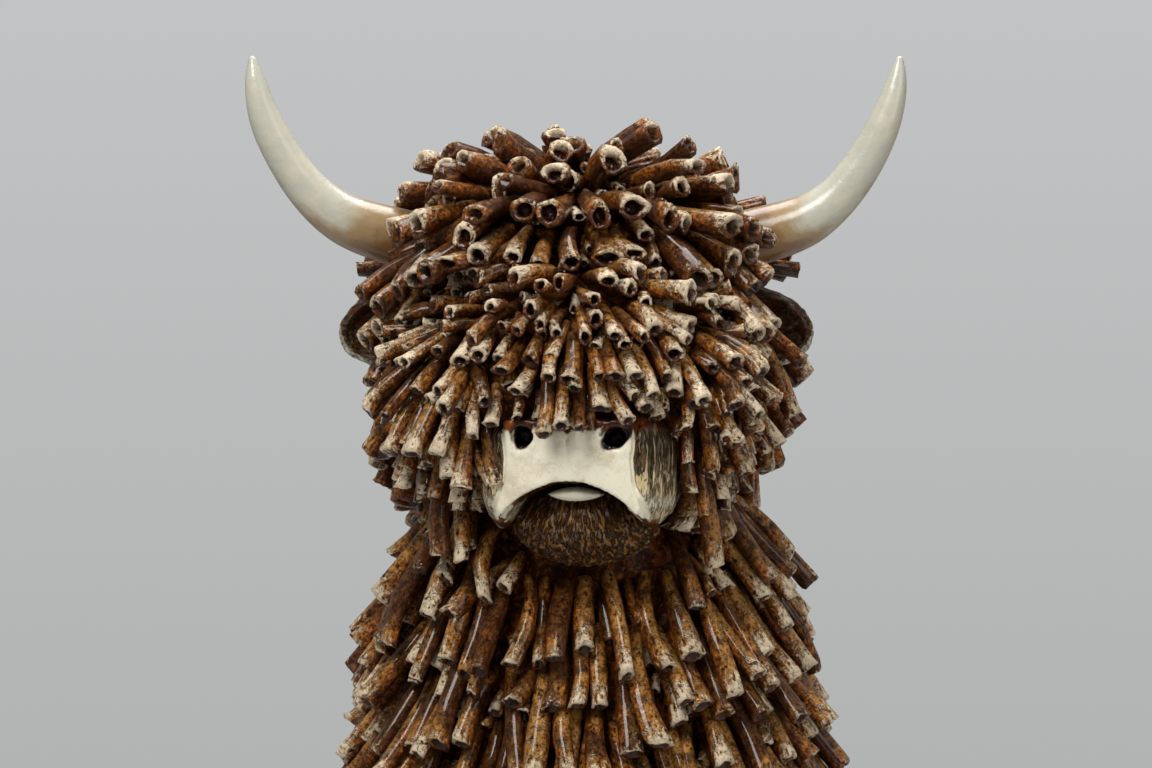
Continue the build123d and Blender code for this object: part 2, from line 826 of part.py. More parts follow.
def lay(coat, dice, site, lean, length, size, group, on_head):
    """Tries rolls at a site, each with its own chance turn and lean, later ones calmer and shorter, until one fits."""
    length *= varied(dice, roll_length_spread_share)
    size *= 1 - dice.uniform(-roll_growth_share, 1) * roll_size_spread_share
    tries = list(zip(try_length_shares, try_size_shares))
    for n, (length_share, size_share) in enumerate(tries):
        chance = 1 - n / (len(tries) - 1)
        further = dice.uniform(-try_inward_share, 1) * try_lean_spread
        further *= try_calm_share + (1 - try_calm_share) * chance
        turn = dice.uniform(-roll_turn, roll_turn) * chance
        roll = leaning(*site, lean + further, turn, length * length_share, size * size_share)
        if coat.fits(roll, on_head):
            coat.add(roll, group)
            return


def crown_share(from_crown):
    """One on the crown, falling to zero where the forelock starts, by degrees from the crown."""
    share = min(max((forelock_start - from_crown) / (forelock_start - crown_end), 0), 1)
    return share * share * (3 - 2 * share)


def parted(normal, combed, from_crown):
    """The combing direction on the crown, swung away from the parting over the middle of the head."""
    off_front = math.atan2(normal[0], -normal[1])
    return swung(normal, combed, crown_parting_turn * crown_share(from_crown) * math.sin(2 * off_front))


def lay_head(coat):
    """Tiers of rolls over the ball from the crown down to the jowls."""
    tier_step = math.degrees(head_tier_pitch / head_radius)
    for tier in range(head_tier_count):
        from_crown = tier_step * (tier + head_first_tier_share)
        ring = 2 * math.pi * head_radius * math.sin(math.radians(from_crown))
        pitch = 2 * roll_root_radius * head_size_share + roll_side_gap
        for n in range(int(ring / pitch)):
            dice = dice_for("head", tier, n)
            step = 360 * pitch / ring
            around = step * (n + tier % 2 / 2 + dice.uniform(-site_stray_share, site_stray_share))
            strayed = from_crown + tier_step * dice.uniform(-site_stray_share, site_stray_share)
            skin, normal, combed, on_ball = head_skin(strayed, around)
            if not on_ball or math.degrees(math.asin(-normal[2])) > head_lowest_slope:
                continue
            lean = min(roll_lean + crown_further_lean * crown_share(from_crown), from_crown + crown_rise)
            site = skin, normal, parted(normal, combed, from_crown)
            lay(coat, dice, site, lean, head_roll_length, head_size_share, head_group(tier, normal), True)


def lay_face(coat):
    """Tiers of short rolls over the nose bridge and the cheeks."""
    step = math.degrees((2 * roll_root_radius * face_size_share + roll_side_gap) / face_ring_radius)
    for tier in range(face_tier_count):
        height = head_height + face_top_rise - face_tier_pitch * tier
        for n in range(int(2 * face_half_angle / step)):
            dice = dice_for("face", tier, n)
            along = n + tier % 2 / 2 + dice.uniform(-site_stray_share, site_stray_share)
            around = -90 - face_half_angle + step * along
            strayed = height + face_tier_pitch * dice.uniform(-site_stray_share, site_stray_share)
            skin, normal, combed, on_ball = face_skin(strayed, around)
            if not on_ball:
                group = face_group(strayed)
                lay(coat, dice, (skin, normal, combed), roll_lean, face_roll_length, face_size_share, group, True)


def lay_body(coat):
    """Tiers of rolls from the neck down to the ground."""
    for tier in range(body_tier_count):
        height = body_top_tier_height - body_tier_pitch * tier
        half_width, half_depth, _ = body_section(height)
        ring = math.pi * (half_width + half_depth)
        count = int(ring / (2 * roll_root_radius + roll_side_gap))
        for n in range(count):
            dice = dice_for("body", tier, n)
            around = 360 * (n + tier % 2 / 2 + dice.uniform(-site_stray_share, site_stray_share)) / count
            strayed = height + body_tier_pitch * dice.uniform(-site_stray_share, site_stray_share)
            length = min(body_roll_length, (strayed - ground_gap - roll_tip_radius) / ground_reach_share)
            lay(coat, dice, body_skin(strayed, around), roll_lean, length, 1, body_group(tier, around), False)


def filler_site(dice, on_head):
    """A chance place on the skin, with its normal and combing direction, and its group; none under the head."""
    around = dice.uniform(0, 360)
    if not on_head:
        height = dice.uniform(body_tier_pitch, body_top_tier_height)
        return body_skin(height, around), body_group(int((body_top_tier_height - height) / body_tier_pitch), around)
    from_crown = math.degrees(math.acos(dice.uniform(-filler_lowest_share, 1)))
    skin, normal, combed, on_ball = head_skin(from_crown, around)
    if not on_ball:
        return (skin, normal, combed), face_group(skin[2])
    if math.degrees(math.asin(-normal[2])) > head_lowest_slope:
        return None, None
    tier = int(math.radians(from_crown) * head_radius / head_tier_pitch)
    return (skin, normal, parted(normal, combed, from_crown)), head_group(tier, normal)


def lay_fillers(coat):
    """Rolls wherever one still fits between the tiers, the longest first."""
    for step, (length, size) in enumerate(zip(filler_lengths, filler_size_shares)):
        for n in range(filler_counts_tried[step]):
            dice = dice_for("filler", step, n)
            on_head = n % 2 == 0
            site, group = filler_site(dice, on_head)
            if site is None:
                continue
            roll = leaning(
                *site,
                roll_lean + dice.uniform(-1, 1) * filler_lean_spread,
                dice.uniform(-1, 1) * filler_turn_spread,
                length * varied(dice, roll_length_spread_share),
                size * varied(dice, roll_size_spread_share),
            )
            if coat.fits(roll, on_head):
                coat.add(roll, group)


def tuft_rolls():
    """The rolls fanned out past the tail's end, in two rows."""
    corners = tail_points()
    end, way = corners[-1], unit(corners[-1] - corners[-2])
    side = np.cross(upward, way)
    pitch = 2 * roll_root_radius + roll_clearance
    rolls = []
    for row, count in enumerate(tuft_row_counts):
        height = ground_gap + roll_tip_radius + row * (roll_root_radius + roll_tip_radius + roll_clearance)
        for n in range(count):
            place = n - (count - 1) / 2
            fan = math.radians(place * tuft_fan)
            start = end + side * place * pitch + way * seat_gap
            root = np.array([start[0], start[1], height])
            rolls.append(Roll(root, math.cos(fan) * way + math.sin(fan) * side, tuft_roll_length, 1.0))
    return rolls


# Writing the pieces

def write(name, shape):
    """Writes one sub-part to its own file."""
    export_step(shape, f"parts/{name}.step")


def main():
    """Builds every sub-part and writes it."""
    os.makedirs("parts", exist_ok=True)
    form, pear = head_form(), body_pear()
    write("body_core", body_core(pear, form))
    write("head_core", head_core(form))
    write("neck_dowel", neck_dowel())
    write("base_felt", base_felt())

    for name, right in (("horn", horn(form)), ("ear", ear(form))):
        write(f"{name}_right", right)
        write(f"{name}_left", right.mirror(Plane.YZ))

    made_snout = snout(form, pear)
    made_chin = chin(form, pear, made_snout)
    write("snout", made_snout)
    write("nose_pad", nose_pad(form))
    write("chin", made_chin)
    write("lower_lip", lower_lip(made_chin, made_snout))

    for name, place in hoof_places().items():
        write(name, placed_hoof(place, pear))
    write("tail", tail(pear))

    coat = Coat()
    coat.groups["tail_tuft_rolls"] = []
    for roll in tuft_rolls():
        coat.add(roll, "tail_tuft_rolls")
    lay_face(coat)
    lay_head(coat)
    lay_body(coat)
    lay_fillers(coat)
    for name, rolls in coat.groups.items():
        write(name, Compound(children=[roll.solid() for roll in rolls]))
    print("rolls", sum(len(rolls) for rolls in coat.groups.values()), "in", len(coat.groups), "groups")
    print("tail bends", [round(radius, 1) for radius in bend_radii(tail_points())])


main()
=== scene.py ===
"""Dresses the seated long-haired cow figurine: its coat of clay rolls, horns, muzzle, ears, hooves and tail.

Lengths are in millimetres where nothing else is said; MM turns them into the metres of the shared frame.
"""

import logging
import math
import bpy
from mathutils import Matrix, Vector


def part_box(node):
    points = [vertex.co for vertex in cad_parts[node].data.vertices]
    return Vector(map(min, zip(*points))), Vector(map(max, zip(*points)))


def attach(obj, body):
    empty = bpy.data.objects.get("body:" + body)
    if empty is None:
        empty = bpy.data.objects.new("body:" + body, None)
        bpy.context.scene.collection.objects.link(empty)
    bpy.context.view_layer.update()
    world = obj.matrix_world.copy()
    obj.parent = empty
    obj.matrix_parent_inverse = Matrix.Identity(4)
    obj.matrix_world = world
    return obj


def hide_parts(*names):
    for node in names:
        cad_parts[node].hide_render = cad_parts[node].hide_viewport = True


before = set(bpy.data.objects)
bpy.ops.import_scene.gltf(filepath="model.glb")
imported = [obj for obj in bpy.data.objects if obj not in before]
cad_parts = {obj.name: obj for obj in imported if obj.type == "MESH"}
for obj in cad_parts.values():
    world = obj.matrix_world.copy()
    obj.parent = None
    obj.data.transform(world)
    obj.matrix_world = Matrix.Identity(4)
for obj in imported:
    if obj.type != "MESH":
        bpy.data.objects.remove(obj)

import zlib
from dataclasses import dataclass, field, replace
from enum import Enum
from typing import Sequence

import bpy
import numpy as np
from mathutils import Vector, noise
from mathutils.bvhtree import BVHTree

log = logging.getLogger("cow_figurine")

MM = 0.001
MERGE = 0.002  # points of a CAD skin that lie nearer to each other than this are joined
Colour = tuple[float, float, float, float]
Socket = bpy.types.NodeSocket
Value = float | tuple | Socket
Material = bpy.types.Material
Array = np.ndarray
Dice = np.random.Generator


class Side(Enum):
    """The two sides of the head, with the sign of X there."""

    LEFT = -1
    RIGHT = 1


def tint(code: str) -> Colour:
    """A linear colour from a hexadecimal display colour.

    Args:
        code: Six hexadecimal digits, red, green and blue.

    Returns:
        The colour as four linear values, opaque.
    """
    shares = [int(code[n:n + 2], 16) / 255 for n in (0, 2, 4)]
    linear = [s / 12.92 if s <= 0.04045 else ((s + 0.055) / 1.055) ** 2.4 for s in shares]
    return (*linear, 1.0)


def smooth_step(values: Array, start: float, end: float) -> Array:
    """Zero at the start, one at the end, and an even curve between them."""
    shares = np.clip((values - start) / (end - start), 0, 1)
    return shares * shares * (3 - 2 * shares)


class Graph:
    """Adds nodes to one shader tree by short calls."""

    def __init__(self, tree: bpy.types.NodeTree) -> None:
        """Takes the tree that the nodes go into."""
        self.tree = tree

    def plug(self, node: bpy.types.Node, key: str | int, value: Value) -> None:
        """Links a socket into a node's input, or sets a plain value there."""
        if isinstance(value, bpy.types.NodeSocket):
            self.tree.links.new(value, node.inputs[key])
        else:
            node.inputs[key].default_value = value

    def add(
        self, kind: str, inputs: dict[str | int, Value] | None = None, **settings: object
    ) -> bpy.types.Node:
        """Adds one node.

        Args:
            kind: The node's type name.
            inputs: A value or a socket for each named or numbered input.
            settings: The node's own properties.

        Returns:
            The new node.
        """
        node = self.tree.nodes.new(kind)
        for name, value in settings.items():
            setattr(node, name, value)
        for key, value in (inputs or {}).items():
            self.plug(node, key, value)
        return node

    def maths(self, operation: str, *values: Value, clamp: bool = False) -> Socket:
        """The result of one sum on values or sockets."""
        node = self.add("ShaderNodeMath", dict(enumerate(values)), operation=operation, use_clamp=clamp)
        return node.outputs[0]

    def times(self, one: Value, other: Value) -> Socket:
        """The product of two values or sockets."""
        return self.maths("MULTIPLY", one, other)

    def off_middle(self, value: Socket) -> Socket:
        """How far a value lies from one half."""
        return self.maths("ABSOLUTE", self.maths("SUBTRACT", value, 0.5))

    def total(self, *terms: tuple[Value, float]) -> Socket:
        """The sum of sockets, each times its own weight."""
        result: Value = 0.0
        for value, weight in terms:
            result = self.maths("MULTIPLY_ADD", value, weight, result)
        return result

    def ramp(self, value: Socket, start: float, end: float, low: float = 0.0, high: float = 1.0) -> Socket:
        """A soft step from low at the start to high at the end."""
        spans = {"Value": value, "From Min": start, "From Max": end, "To Min": low, "To Max": high}
        return self.add("ShaderNodeMapRange", spans, interpolation_type="SMOOTHSTEP").outputs["Result"]

    def mix(self, share: Value, low: Value, high: Value) -> Socket:
        """A colour between two colours."""
        return self.add("ShaderNodeMix", {0: share, 6: low, 7: high}, data_type="RGBA").outputs[2]

    def blend(
        self, value: Socket, start: float, end: float, low: Value, high: Value, share: float = 1.0
    ) -> Socket:
        """The low colour, which the high one covers by the share as the value goes from start to end."""
        return self.mix(self.ramp(value, start, end, 0.0, share), low, high)

    def stretch(self, vector: Socket, by: tuple[float, float, float]) -> Socket:
        """The vector with each part times its own number."""
        return self.add("ShaderNodeVectorMath", {0: vector, 1: by}, operation="MULTIPLY").outputs[0]

    def noise(
        self, vector: Socket, scale: Value, detail: float = 3.0, rough: float = 0.55, warp: float = 0.0
    ) -> Socket:
        """Cloudy noise from zero to one."""
        inputs = {"Vector": vector, "Scale": scale, "Detail": detail, "Roughness": rough, "Distortion": warp}
        return self.add("ShaderNodeTexNoise", inputs).outputs["Fac"]

    def attribute(self, name: str) -> bpy.types.Node:
        """The node that reads a piece's own attribute."""
        return self.add("ShaderNodeAttribute", attribute_name=name)

    def parts(self, vector: Socket) -> tuple[Socket, Socket, Socket]:
        """The three parts of a vector."""
        node = self.add("ShaderNodeSeparateXYZ", {0: vector})
        return node.outputs[0], node.outputs[1], node.outputs[2]

    def place(self) -> Socket:
        """The point of the surface in the figurine's frame, in millimetres."""
        here = self.add("ShaderNodeTexCoord").outputs["Object"]
        return self.stretch(here, (1 / MM,) * 3)


def shared_group(
    name: str, inputs: Sequence[tuple[str, str]], outputs: Sequence[str]
) -> tuple[Graph, bpy.types.Node, bpy.types.Node]:
    """Starts a shader node group.

    Args:
        name: The group's name.
        inputs: Name and socket type of each input.
        outputs: Name of each output, a number.

    Returns:
        The group's graph, its input node and its output node.
    """
    tree = bpy.data.node_groups.new(name, "ShaderNodeTree")
    for label, kind in inputs:
        tree.interface.new_socket(name=label, in_out="INPUT", socket_type=kind)
    for label in outputs:
        tree.interface.new_socket(name=label, in_out="OUTPUT", socket_type="NodeSocketFloat")
    graph = Graph(tree)
    return graph, graph.add("NodeGroupInput"), graph.add("NodeGroupOutput")


class Effects:
    """The shader node groups that several finishes share, each built once."""

    def __init__(self) -> None:
        """Builds the groups."""
        self.worn = self._worn_edge()
        self.scored = self._scored_hair()

    @staticmethod
    def _worn_edge() -> bpy.types.NodeTree:
        """Where a rubbed coat shows the pale clay: a ragged mask that grows with the amount."""
        graph, given, result = shared_group(
            "rubbed_back",
            (("Place", "NodeSocketVector"), ("Amount", "NodeSocketFloat"), ("Grain", "NodeSocketFloat")),
            ("Mask", "Height"),
        )
        coarse = graph.noise(given.outputs["Place"], given.outputs["Grain"], 5.0, 0.62)
        level = graph.maths("ADD", coarse, given.outputs["Amount"])
        graph.plug(result, "Mask", graph.ramp(level, 0.81, 0.97))
        graph.plug(result, "Height", coarse)
        return graph.tree

    @staticmethod
    def _scored_hair() -> bpy.types.NodeTree:
        """Scored strands along the flow: a mask of fine grooves and the strands' height."""
        graph, given, result = shared_group(
            "scored_hair",
            (("Flow", "NodeSocketVector"), ("Strands", "NodeSocketFloat"), ("Cover", "NodeSocketFloat")),
            ("Groove", "Height"),
        )
        flow = given.outputs["Flow"]
        waved = graph.add("ShaderNodeTexNoise", {"Vector": flow, "Scale": 0.28, "Detail": 2.0})
        bent = graph.add(
            "ShaderNodeVectorMath",
            {0: waved.outputs["Color"], 1: (1.1, 0.0, 0.0), 2: flow},
            operation="MULTIPLY_ADD",
        )
        thin = graph.stretch(bent.outputs[0], (1.0, 0.1, 0.6))
        strands = graph.noise(thin, given.outputs["Strands"], 3.0, 0.6)
        level = graph.maths("DIVIDE", graph.off_middle(strands), given.outputs["Cover"])
        graph.plug(result, "Groove", graph.ramp(level, 1.0, 0.4))
        graph.plug(result, "Height", strands)
        return graph.tree


@dataclass(frozen=True)
class Coat:
    """How light leaves a finished surface."""

    rough: float = 0.3
    gloss: float = 0.5
    gloss_rough: float = 0.12
    shine: float = 0.5


class Finish:
    """The material of one finish: its shader, and short ways to feed it."""

    def __init__(self, name: str, effects: Effects, coat: Coat) -> None:
        """Makes the material.

        Args:
            name: The material's name.
            effects: The shared node groups.
            coat: How light leaves the surface.
        """
        self.material = bpy.data.materials.new(name)
        self.material.use_nodes = True
        self.material.node_tree.nodes.clear()
        self.graph = Graph(self.material.node_tree)
        self.effects = effects
        self.shader = self.graph.add(
            "ShaderNodeBsdfPrincipled",
            {
                "Roughness": coat.rough,
                "Specular IOR Level": coat.shine,
                "Coat Weight": coat.gloss,
                "Coat Roughness": coat.gloss_rough,
            },
        )
        out = self.graph.add("ShaderNodeOutputMaterial")
        self.graph.tree.links.new(self.shader.outputs[0], out.inputs["Surface"])

    def feed(self, **sockets: Socket) -> None:
        """Links sockets to the shader's inputs, named with low lines for spaces."""
        for name, socket in sockets.items():
            self.graph.tree.links.new(socket, self.shader.inputs[name.replace("_", " ")])

    def bump(self, height: Socket, depth: float) -> None:
        """Raises the surface by a height map, depth in millimetres."""
        node = self.graph.add("ShaderNodeBump", {"Height": height, "Distance": depth * MM, "Strength": 1.0})
        self.feed(Normal=node.outputs[0])

    def worn(self, place: Socket, amount: Value, grain: float) -> tuple[Socket, Socket]:
        """The shared rubbed-back mask and its height."""
        return self._shared(self.effects.worn, place, amount, grain)

    def scored(self, flow: Socket, strands: float, cover: Socket) -> tuple[Socket, Socket]:
        """The shared scored hair: its groove mask and its height."""
        return self._shared(self.effects.scored, flow, strands, cover)

    def _shared(self, tree: bpy.types.NodeTree, *inputs: Value) -> tuple[Socket, Socket]:
        """The two outputs of a shared group, fed in the order of its inputs."""
        node = self.graph.add("ShaderNodeGroup", dict(enumerate(inputs)), node_tree=tree)
        return node.outputs[0], node.outputs[1]


@dataclass(frozen=True)
class Palette:
    """The colours of the figurine."""

    soot: Colour = tint("090605")
    deep: Colour = tint("3a1a06")
    glaze: Colour = tint("8e4811")
    amber: Colour = tint("cd7c26")
    tan: Colour = tint("cb944a")
    cream: Colour = tint("f0dcbc")
    pad: Colour = tint("efe8cf")
    ivory: Colour = tint("c5c3b2")
    blush: Colour = tint("94713a")
    haired: Colour = tint("7d5426")
    cheek: Colour = tint("dcc596")
    ear: Colour = tint("6b5236")
    steel: Colour = tint("b4b6b8")
    felt: Colour = tint("3a332c")


@dataclass(frozen=True)
class RollGlaze:
    """Glossy brown glaze on the clay rolls, cracked across, rubbed back to cream, black in the hollow."""

    palette: Palette
    crack_pitch: float = 0.95
    crack_width: float = 0.04
    brink_width: float = 0.104
    cream_reach: float = 10.0
    cream_amount: float = -0.065

    def build(self, effects: Effects) -> Material:
        """Makes the material from the rolls' own attributes."""
        finish = Finish("roll_glaze", effects, Coat(rough=0.32, gloss=0.5, gloss_rough=0.1, shine=0.12))
        graph, tones = finish.graph, self.palette
        place = graph.attribute("roll_place").outputs["Vector"]
        chance, open_side, inside = graph.parts(graph.attribute("roll_traits").outputs["Vector"])
        from_mouth = graph.parts(place)[2]

        across = graph.noise(graph.stretch(place, (0.35, 0.35, self.crack_pitch)), 1.0, 3.0, 0.6, 0.5)
        off_line = graph.off_middle(across)
        patchy = graph.ramp(graph.noise(place, 0.4, 2.0), 0.42, 0.56)
        kept = graph.times(patchy, graph.ramp(from_mouth, 1.5, 5.0, 0.2, 1.0))
        crack = graph.times(graph.ramp(off_line, 0.0, self.crack_width, 1.0, 0.0), kept)
        brink = graph.times(graph.ramp(off_line, self.crack_width, self.brink_width, 1.0, 0.0), patchy)

        near_mouth = graph.ramp(from_mouth, self.cream_reach, 0.0)
        lip = graph.ramp(from_mouth, 0.8, 0.3)
        where = graph.total((near_mouth, 0.3), (open_side, 0.2), (chance, 0.17), (lip, 0.12))
        amount = graph.total((brink, 0.14), (crack, -0.7), (1.0, self.cream_amount), (where, 1.0))
        cream, relief = finish.worn(graph.stretch(place, (1.0, 1.0, 0.7)), amount, 0.95)
        pitted = graph.noise(place, 3.4, 2.0, 0.7)
        cream = graph.times(cream, graph.ramp(pitted, 0.24, 0.34))

        brown = self._brown(graph, place, relief, (chance, open_side, near_mouth))
        faded = graph.blend(pitted, 0.28, 0.46, tones.tan, tones.cream)
        colour = graph.mix(cream, brown, faded)
        bare_brown = graph.maths("SUBTRACT", 1.0, cream, clamp=True)
        speck = graph.times(graph.ramp(graph.noise(place, 1.3, 4.0, 0.65), 0.56, 0.62), bare_brown)
        sunk = graph.times(graph.ramp(relief, 0.42, 0.35), graph.ramp(cream, 0.0, 1.0, 1.0, 0.25))
        hollow = graph.maths("MAXIMUM", sunk, graph.times(speck, 0.75))
        hollow = graph.maths("MAXIMUM", hollow, crack)
        colour = graph.mix(graph.times(hollow, 0.9), colour, tones.soot)
        crumbs = graph.blend(pitted, 0.52, 0.64, tones.soot, tones.glaze)
        colour = graph.mix(inside, colour, crumbs)

        finish.feed(Base_Color=colour, Roughness=graph.ramp(cream, 0.0, 1.0, 0.3, 0.55))
        finish.feed(Coat_Weight=graph.ramp(cream, 0.0, 1.0, 0.5, 0.12))
        height = graph.total((relief, 1.0), (pitted, 0.25), (hollow, -0.35), (brink, 0.25), (cream, 0.2))
        finish.bump(height, 0.9)
        return finish.material

    def _brown(self, graph: Graph, place: Socket, relief: Socket, traits: tuple[Socket, ...]) -> Socket:
        """The glaze itself: amber where it is thin, deep brown where it pools and, as painted shade, on the
        side of the roll that faces in and down; painted light adds tan on the side that faces out.

        Args:
            graph: The finish's graph.
            place: The point on the straight roll.
            relief: The height of the rubbed coat.
            traits: The roll's chance, how much the point faces out, and how near it is to the mouth.

        Returns:
            The colour.
        """
        tones, (chance, open_side, near_mouth) = self.palette, traits
        cloud = graph.noise(place, 0.8, 4.0, 0.7)
        brown = graph.blend(cloud, 0.38, 0.48, tones.deep, tones.glaze)
        brown = graph.blend(cloud, 0.48, 0.62, brown, tones.amber)
        # painted light: tan where the roll faces out and up, together with the real wear of the rubbed
        # relief, the roll's chance and the nearness of the mouth
        rubbed_and_lit = graph.total((open_side, 0.4), (relief, 1.2), (chance, 0.12), (near_mouth, 0.12))
        brown = graph.blend(rubbed_and_lit, 0.77, 1.13, brown, tones.tan, 0.8)
        # painted shade: deep brown on the side of the roll that faces in and down
        brown = graph.blend(open_side, 0.2, -0.8, brown, tones.deep, 0.75)
        pooled = graph.total((graph.noise(place, 0.13, 2.0), 1.0), (chance, -0.2), (near_mouth, -0.14))
        return graph.blend(pooled, 0.42, 0.6, brown, tones.deep, 0.75)


@dataclass(frozen=True)
class CoreGlazeAndShade:
    """Thick dark glaze that pools between the rolls and on the tail; between the rolls its near-black is also
    painted shade in the gaps.
    """

    palette: Palette

    def build(self, effects: Effects) -> Material:
        """Makes the material."""
        finish = Finish("core_glaze_and_shade", effects, Coat(rough=0.6, gloss=0.1, gloss_rough=0.3, shine=0.05))
        graph, tones = finish.graph, self.palette
        place = graph.place()
        cloud = graph.noise(place, 0.3, 5.0, 0.65)
        # real dark glaze and painted shade: soot to deep brown, which darkens the gaps between the rolls
        colour = graph.blend(cloud, 0.36, 0.5, tones.soot, tones.deep)
        colour = graph.blend(cloud, 0.5, 0.68, colour, tones.glaze, 0.7)
        worn, grain = finish.worn(place, 0.3, 0.7)
        finish.feed(Base_Color=graph.mix(graph.times(worn, 0.35), colour, tones.amber))
        finish.bump(graph.total((cloud, 0.6), (grain, 0.4)), 0.9)
        return finish.material


@dataclass(frozen=True)
class HairedClay:
    """Scored hair, black in the grooves and rubbed to cream on the strands; bare where the mask says so."""

    palette: Palette
    name: str
    strand: Colour
    rub: float
    cover: float
    strands: float
    shaded_cover: float = 0.035

    def build(self, effects: Effects) -> Material:
        """Makes the material from the piece's flow, shade and paint attributes."""
        finish = Finish(self.name, effects, Coat(rough=0.45, gloss=0.16, gloss_rough=0.16, shine=0.1))
        graph, tones = finish.graph, self.palette
        flow = graph.attribute("hair_flow").outputs["Vector"]
        bare, stain_and_shade, pit = graph.parts(graph.attribute("paint").outputs["Vector"])
        place = graph.place()
        shade = graph.attribute("shade").outputs["Fac"]
        cover = graph.maths("MULTIPLY_ADD", shade, self.shaded_cover, self.cover)
        groove, height = finish.scored(flow, self.strands, cover)
        ragged = graph.noise(flow, 0.9, 3.0, 0.6)
        bare = graph.ramp(graph.total((bare, 1.0), (ragged, 0.5)), 0.62, 0.86)
        worn, grain = finish.worn(place, 0.33, 0.45)

        strand = graph.mix(graph.times(shade, 0.7), self.strand, tones.deep)
        haired = graph.mix(graph.ramp(height, 0.4, 0.58, 0.15, 1.0), tones.deep, strand)
        haired = graph.mix(graph.times(worn, graph.ramp(shade, 0.0, 0.8, self.rub, 0.1)), haired, tones.cream)
        haired = graph.mix(graph.times(groove, 0.92), haired, tones.soot)
        cloud = graph.noise(place, 0.16, 4.0, 0.6)
        cream = graph.blend(cloud, 0.46, 0.72, tones.pad, tones.blush, 0.3)
        veins = graph.off_middle(graph.noise(place, 0.3, 3.0, 0.6, 0.6))
        cream = graph.blend(veins, 0.012, 0.0, cream, tones.glaze, 0.22)
        colour = graph.mix(bare, haired, cream)
        smudge = graph.noise(place, 0.42, 5.0, 0.65)
        brown = graph.blend(smudge, 0.46, 0.72, tones.deep, tones.glaze)
        # brown from the paint mask's second part: real stain, and painted shade on the muzzle's downward
        # faces
        stained_and_shaded = graph.ramp(graph.total((stain_and_shade, 1.0), (smudge, 1.3)), 0.9, 1.25)
        colour = graph.mix(stained_and_shaded, colour, brown)
        dark = graph.blend(smudge, 0.5, 0.64, tones.soot, tones.deep, 0.8)
        colour = graph.mix(pit, colour, dark)

        smooth = graph.maths("SUBTRACT", 1.0, bare, clamp=True)
        glossy = graph.ramp(graph.maths("MAXIMUM", stained_and_shaded, bare), 0.0, 1.0, 0.05, 0.5)
        finish.feed(Base_Color=colour, Roughness=graph.ramp(bare, 0.0, 1.0, 0.4, 0.36), Coat_Weight=glossy)
        rough_skin = graph.total((height, 1.0), (groove, -0.5), (grain, 0.2))
        finish.bump(graph.total((graph.times(rough_skin, smooth), 1.0), (cloud, 0.1)), 0.85)
        return finish.material


@dataclass(frozen=True)
class HornIvory:
    """Smooth ivory horn, stained brown towards the root; along its lower edge the brown is stain and painted
    shade.
    """

    palette: Palette
    root_out: float = 44.0
    stain_reach: float = 26.0

    def build(self, effects: Effects) -> Material:
        """Makes the material."""
        finish = Finish("horn_ivory", effects, Coat(rough=0.32, gloss=0.4, gloss_rough=0.2))
        graph, tones = finish.graph, self.palette
        place = graph.place()
        out = graph.maths("ABSOLUTE", graph.parts(place)[0])
        cloud = graph.noise(place, 0.11, 5.0, 0.62)
        under = graph.attribute("underside").outputs["Fac"]
        near_root = graph.ramp(out, self.root_out + self.stain_reach, self.root_out)
        # painted shade: the underside adds brown to the real stain near the root
        level = graph.total((near_root, 0.78), (under, 0.42), (cloud, 0.85))
        colour = graph.blend(cloud, 0.4, 0.7, tones.ivory, tones.cream, 0.25)
        colour = graph.blend(level, 0.62, 1.05, colour, tones.blush, 0.85)
        colour = graph.blend(level, 1.06, 1.32, colour, tones.haired, 0.9)
        flecks = graph.ramp(graph.noise(place, 0.42, 2.0, 0.5), 0.73, 0.76, 0.0, 0.5)
        colour = graph.mix(flecks, colour, tones.tan)
        finish.feed(Base_Color=colour, Roughness=graph.ramp(cloud, 0.3, 0.7, 0.26, 0.38))
        finish.bump(graph.total((cloud, 0.8), (graph.noise(place, 0.9, 2.0), 0.1)), 0.5)
        return finish.material


@dataclass(frozen=True)
class HoofHorn:
    """Dark glossy hoof with faint growth bands, and glazed clay above its top."""

    palette: Palette
    top: float = 15.0

    def build(self, effects: Effects) -> Material:
        """Makes the material."""
        finish = Finish("hoof_horn", effects, Coat(rough=0.28, gloss=0.7, gloss_rough=0.12))
        graph, tones = finish.graph, self.palette
        place = graph.place()
        up = graph.parts(place)[2]
        bands = graph.noise(graph.stretch(place, (0.05, 0.05, 0.9)), 1.0, 3.0, 0.5)
        worn, grain = finish.worn(place, 0.24, 0.4)
        colour = graph.blend(bands, 0.4, 0.6, tones.soot, tones.deep)
        colour = graph.mix(graph.times(worn, 0.8), colour, tones.tan)
        above = graph.ramp(graph.total((up, 1.0), (grain, 4.0)), self.top + 1.0, self.top + 3.0)
        leg = graph.blend(grain, 0.4, 0.6, tones.deep, tones.glaze)
        finish.feed(Base_Color=graph.mix(above, colour, leg))
        finish.bump(graph.total((bands, 0.5), (grain, 0.5)), 0.5)
        return finish.material


@dataclass(frozen=True)
class PlainFinish:
    """A quiet finish for what is hardly seen: the felt pad and the steel dowel."""

    name: str
    low: Colour
    high: Colour
    metallic: float
    rough: float
    grain: tuple[float, float, float]

    def build(self, effects: Effects) -> Material:
        """Makes the material from two tones and a stretched grain."""
        finish = Finish(self.name, effects, Coat(rough=self.rough, gloss=0.0))
        graph = finish.graph
        finish.shader.inputs["Metallic"].default_value = self.metallic
        cloud = graph.noise(graph.stretch(graph.place(), self.grain), 1.0, 6.0, 0.7)
        finish.feed(Base_Color=graph.blend(cloud, 0.3, 0.7, self.low, self.high))
        finish.bump(cloud, 0.3)
        return finish.material


def clear_selection() -> None:
    """Leaves nothing selected and no object in edit mode."""
    if bpy.context.object and bpy.context.object.mode != "OBJECT":
        bpy.ops.object.mode_set(mode="OBJECT")
    bpy.ops.object.select_all(action="DESELECT")


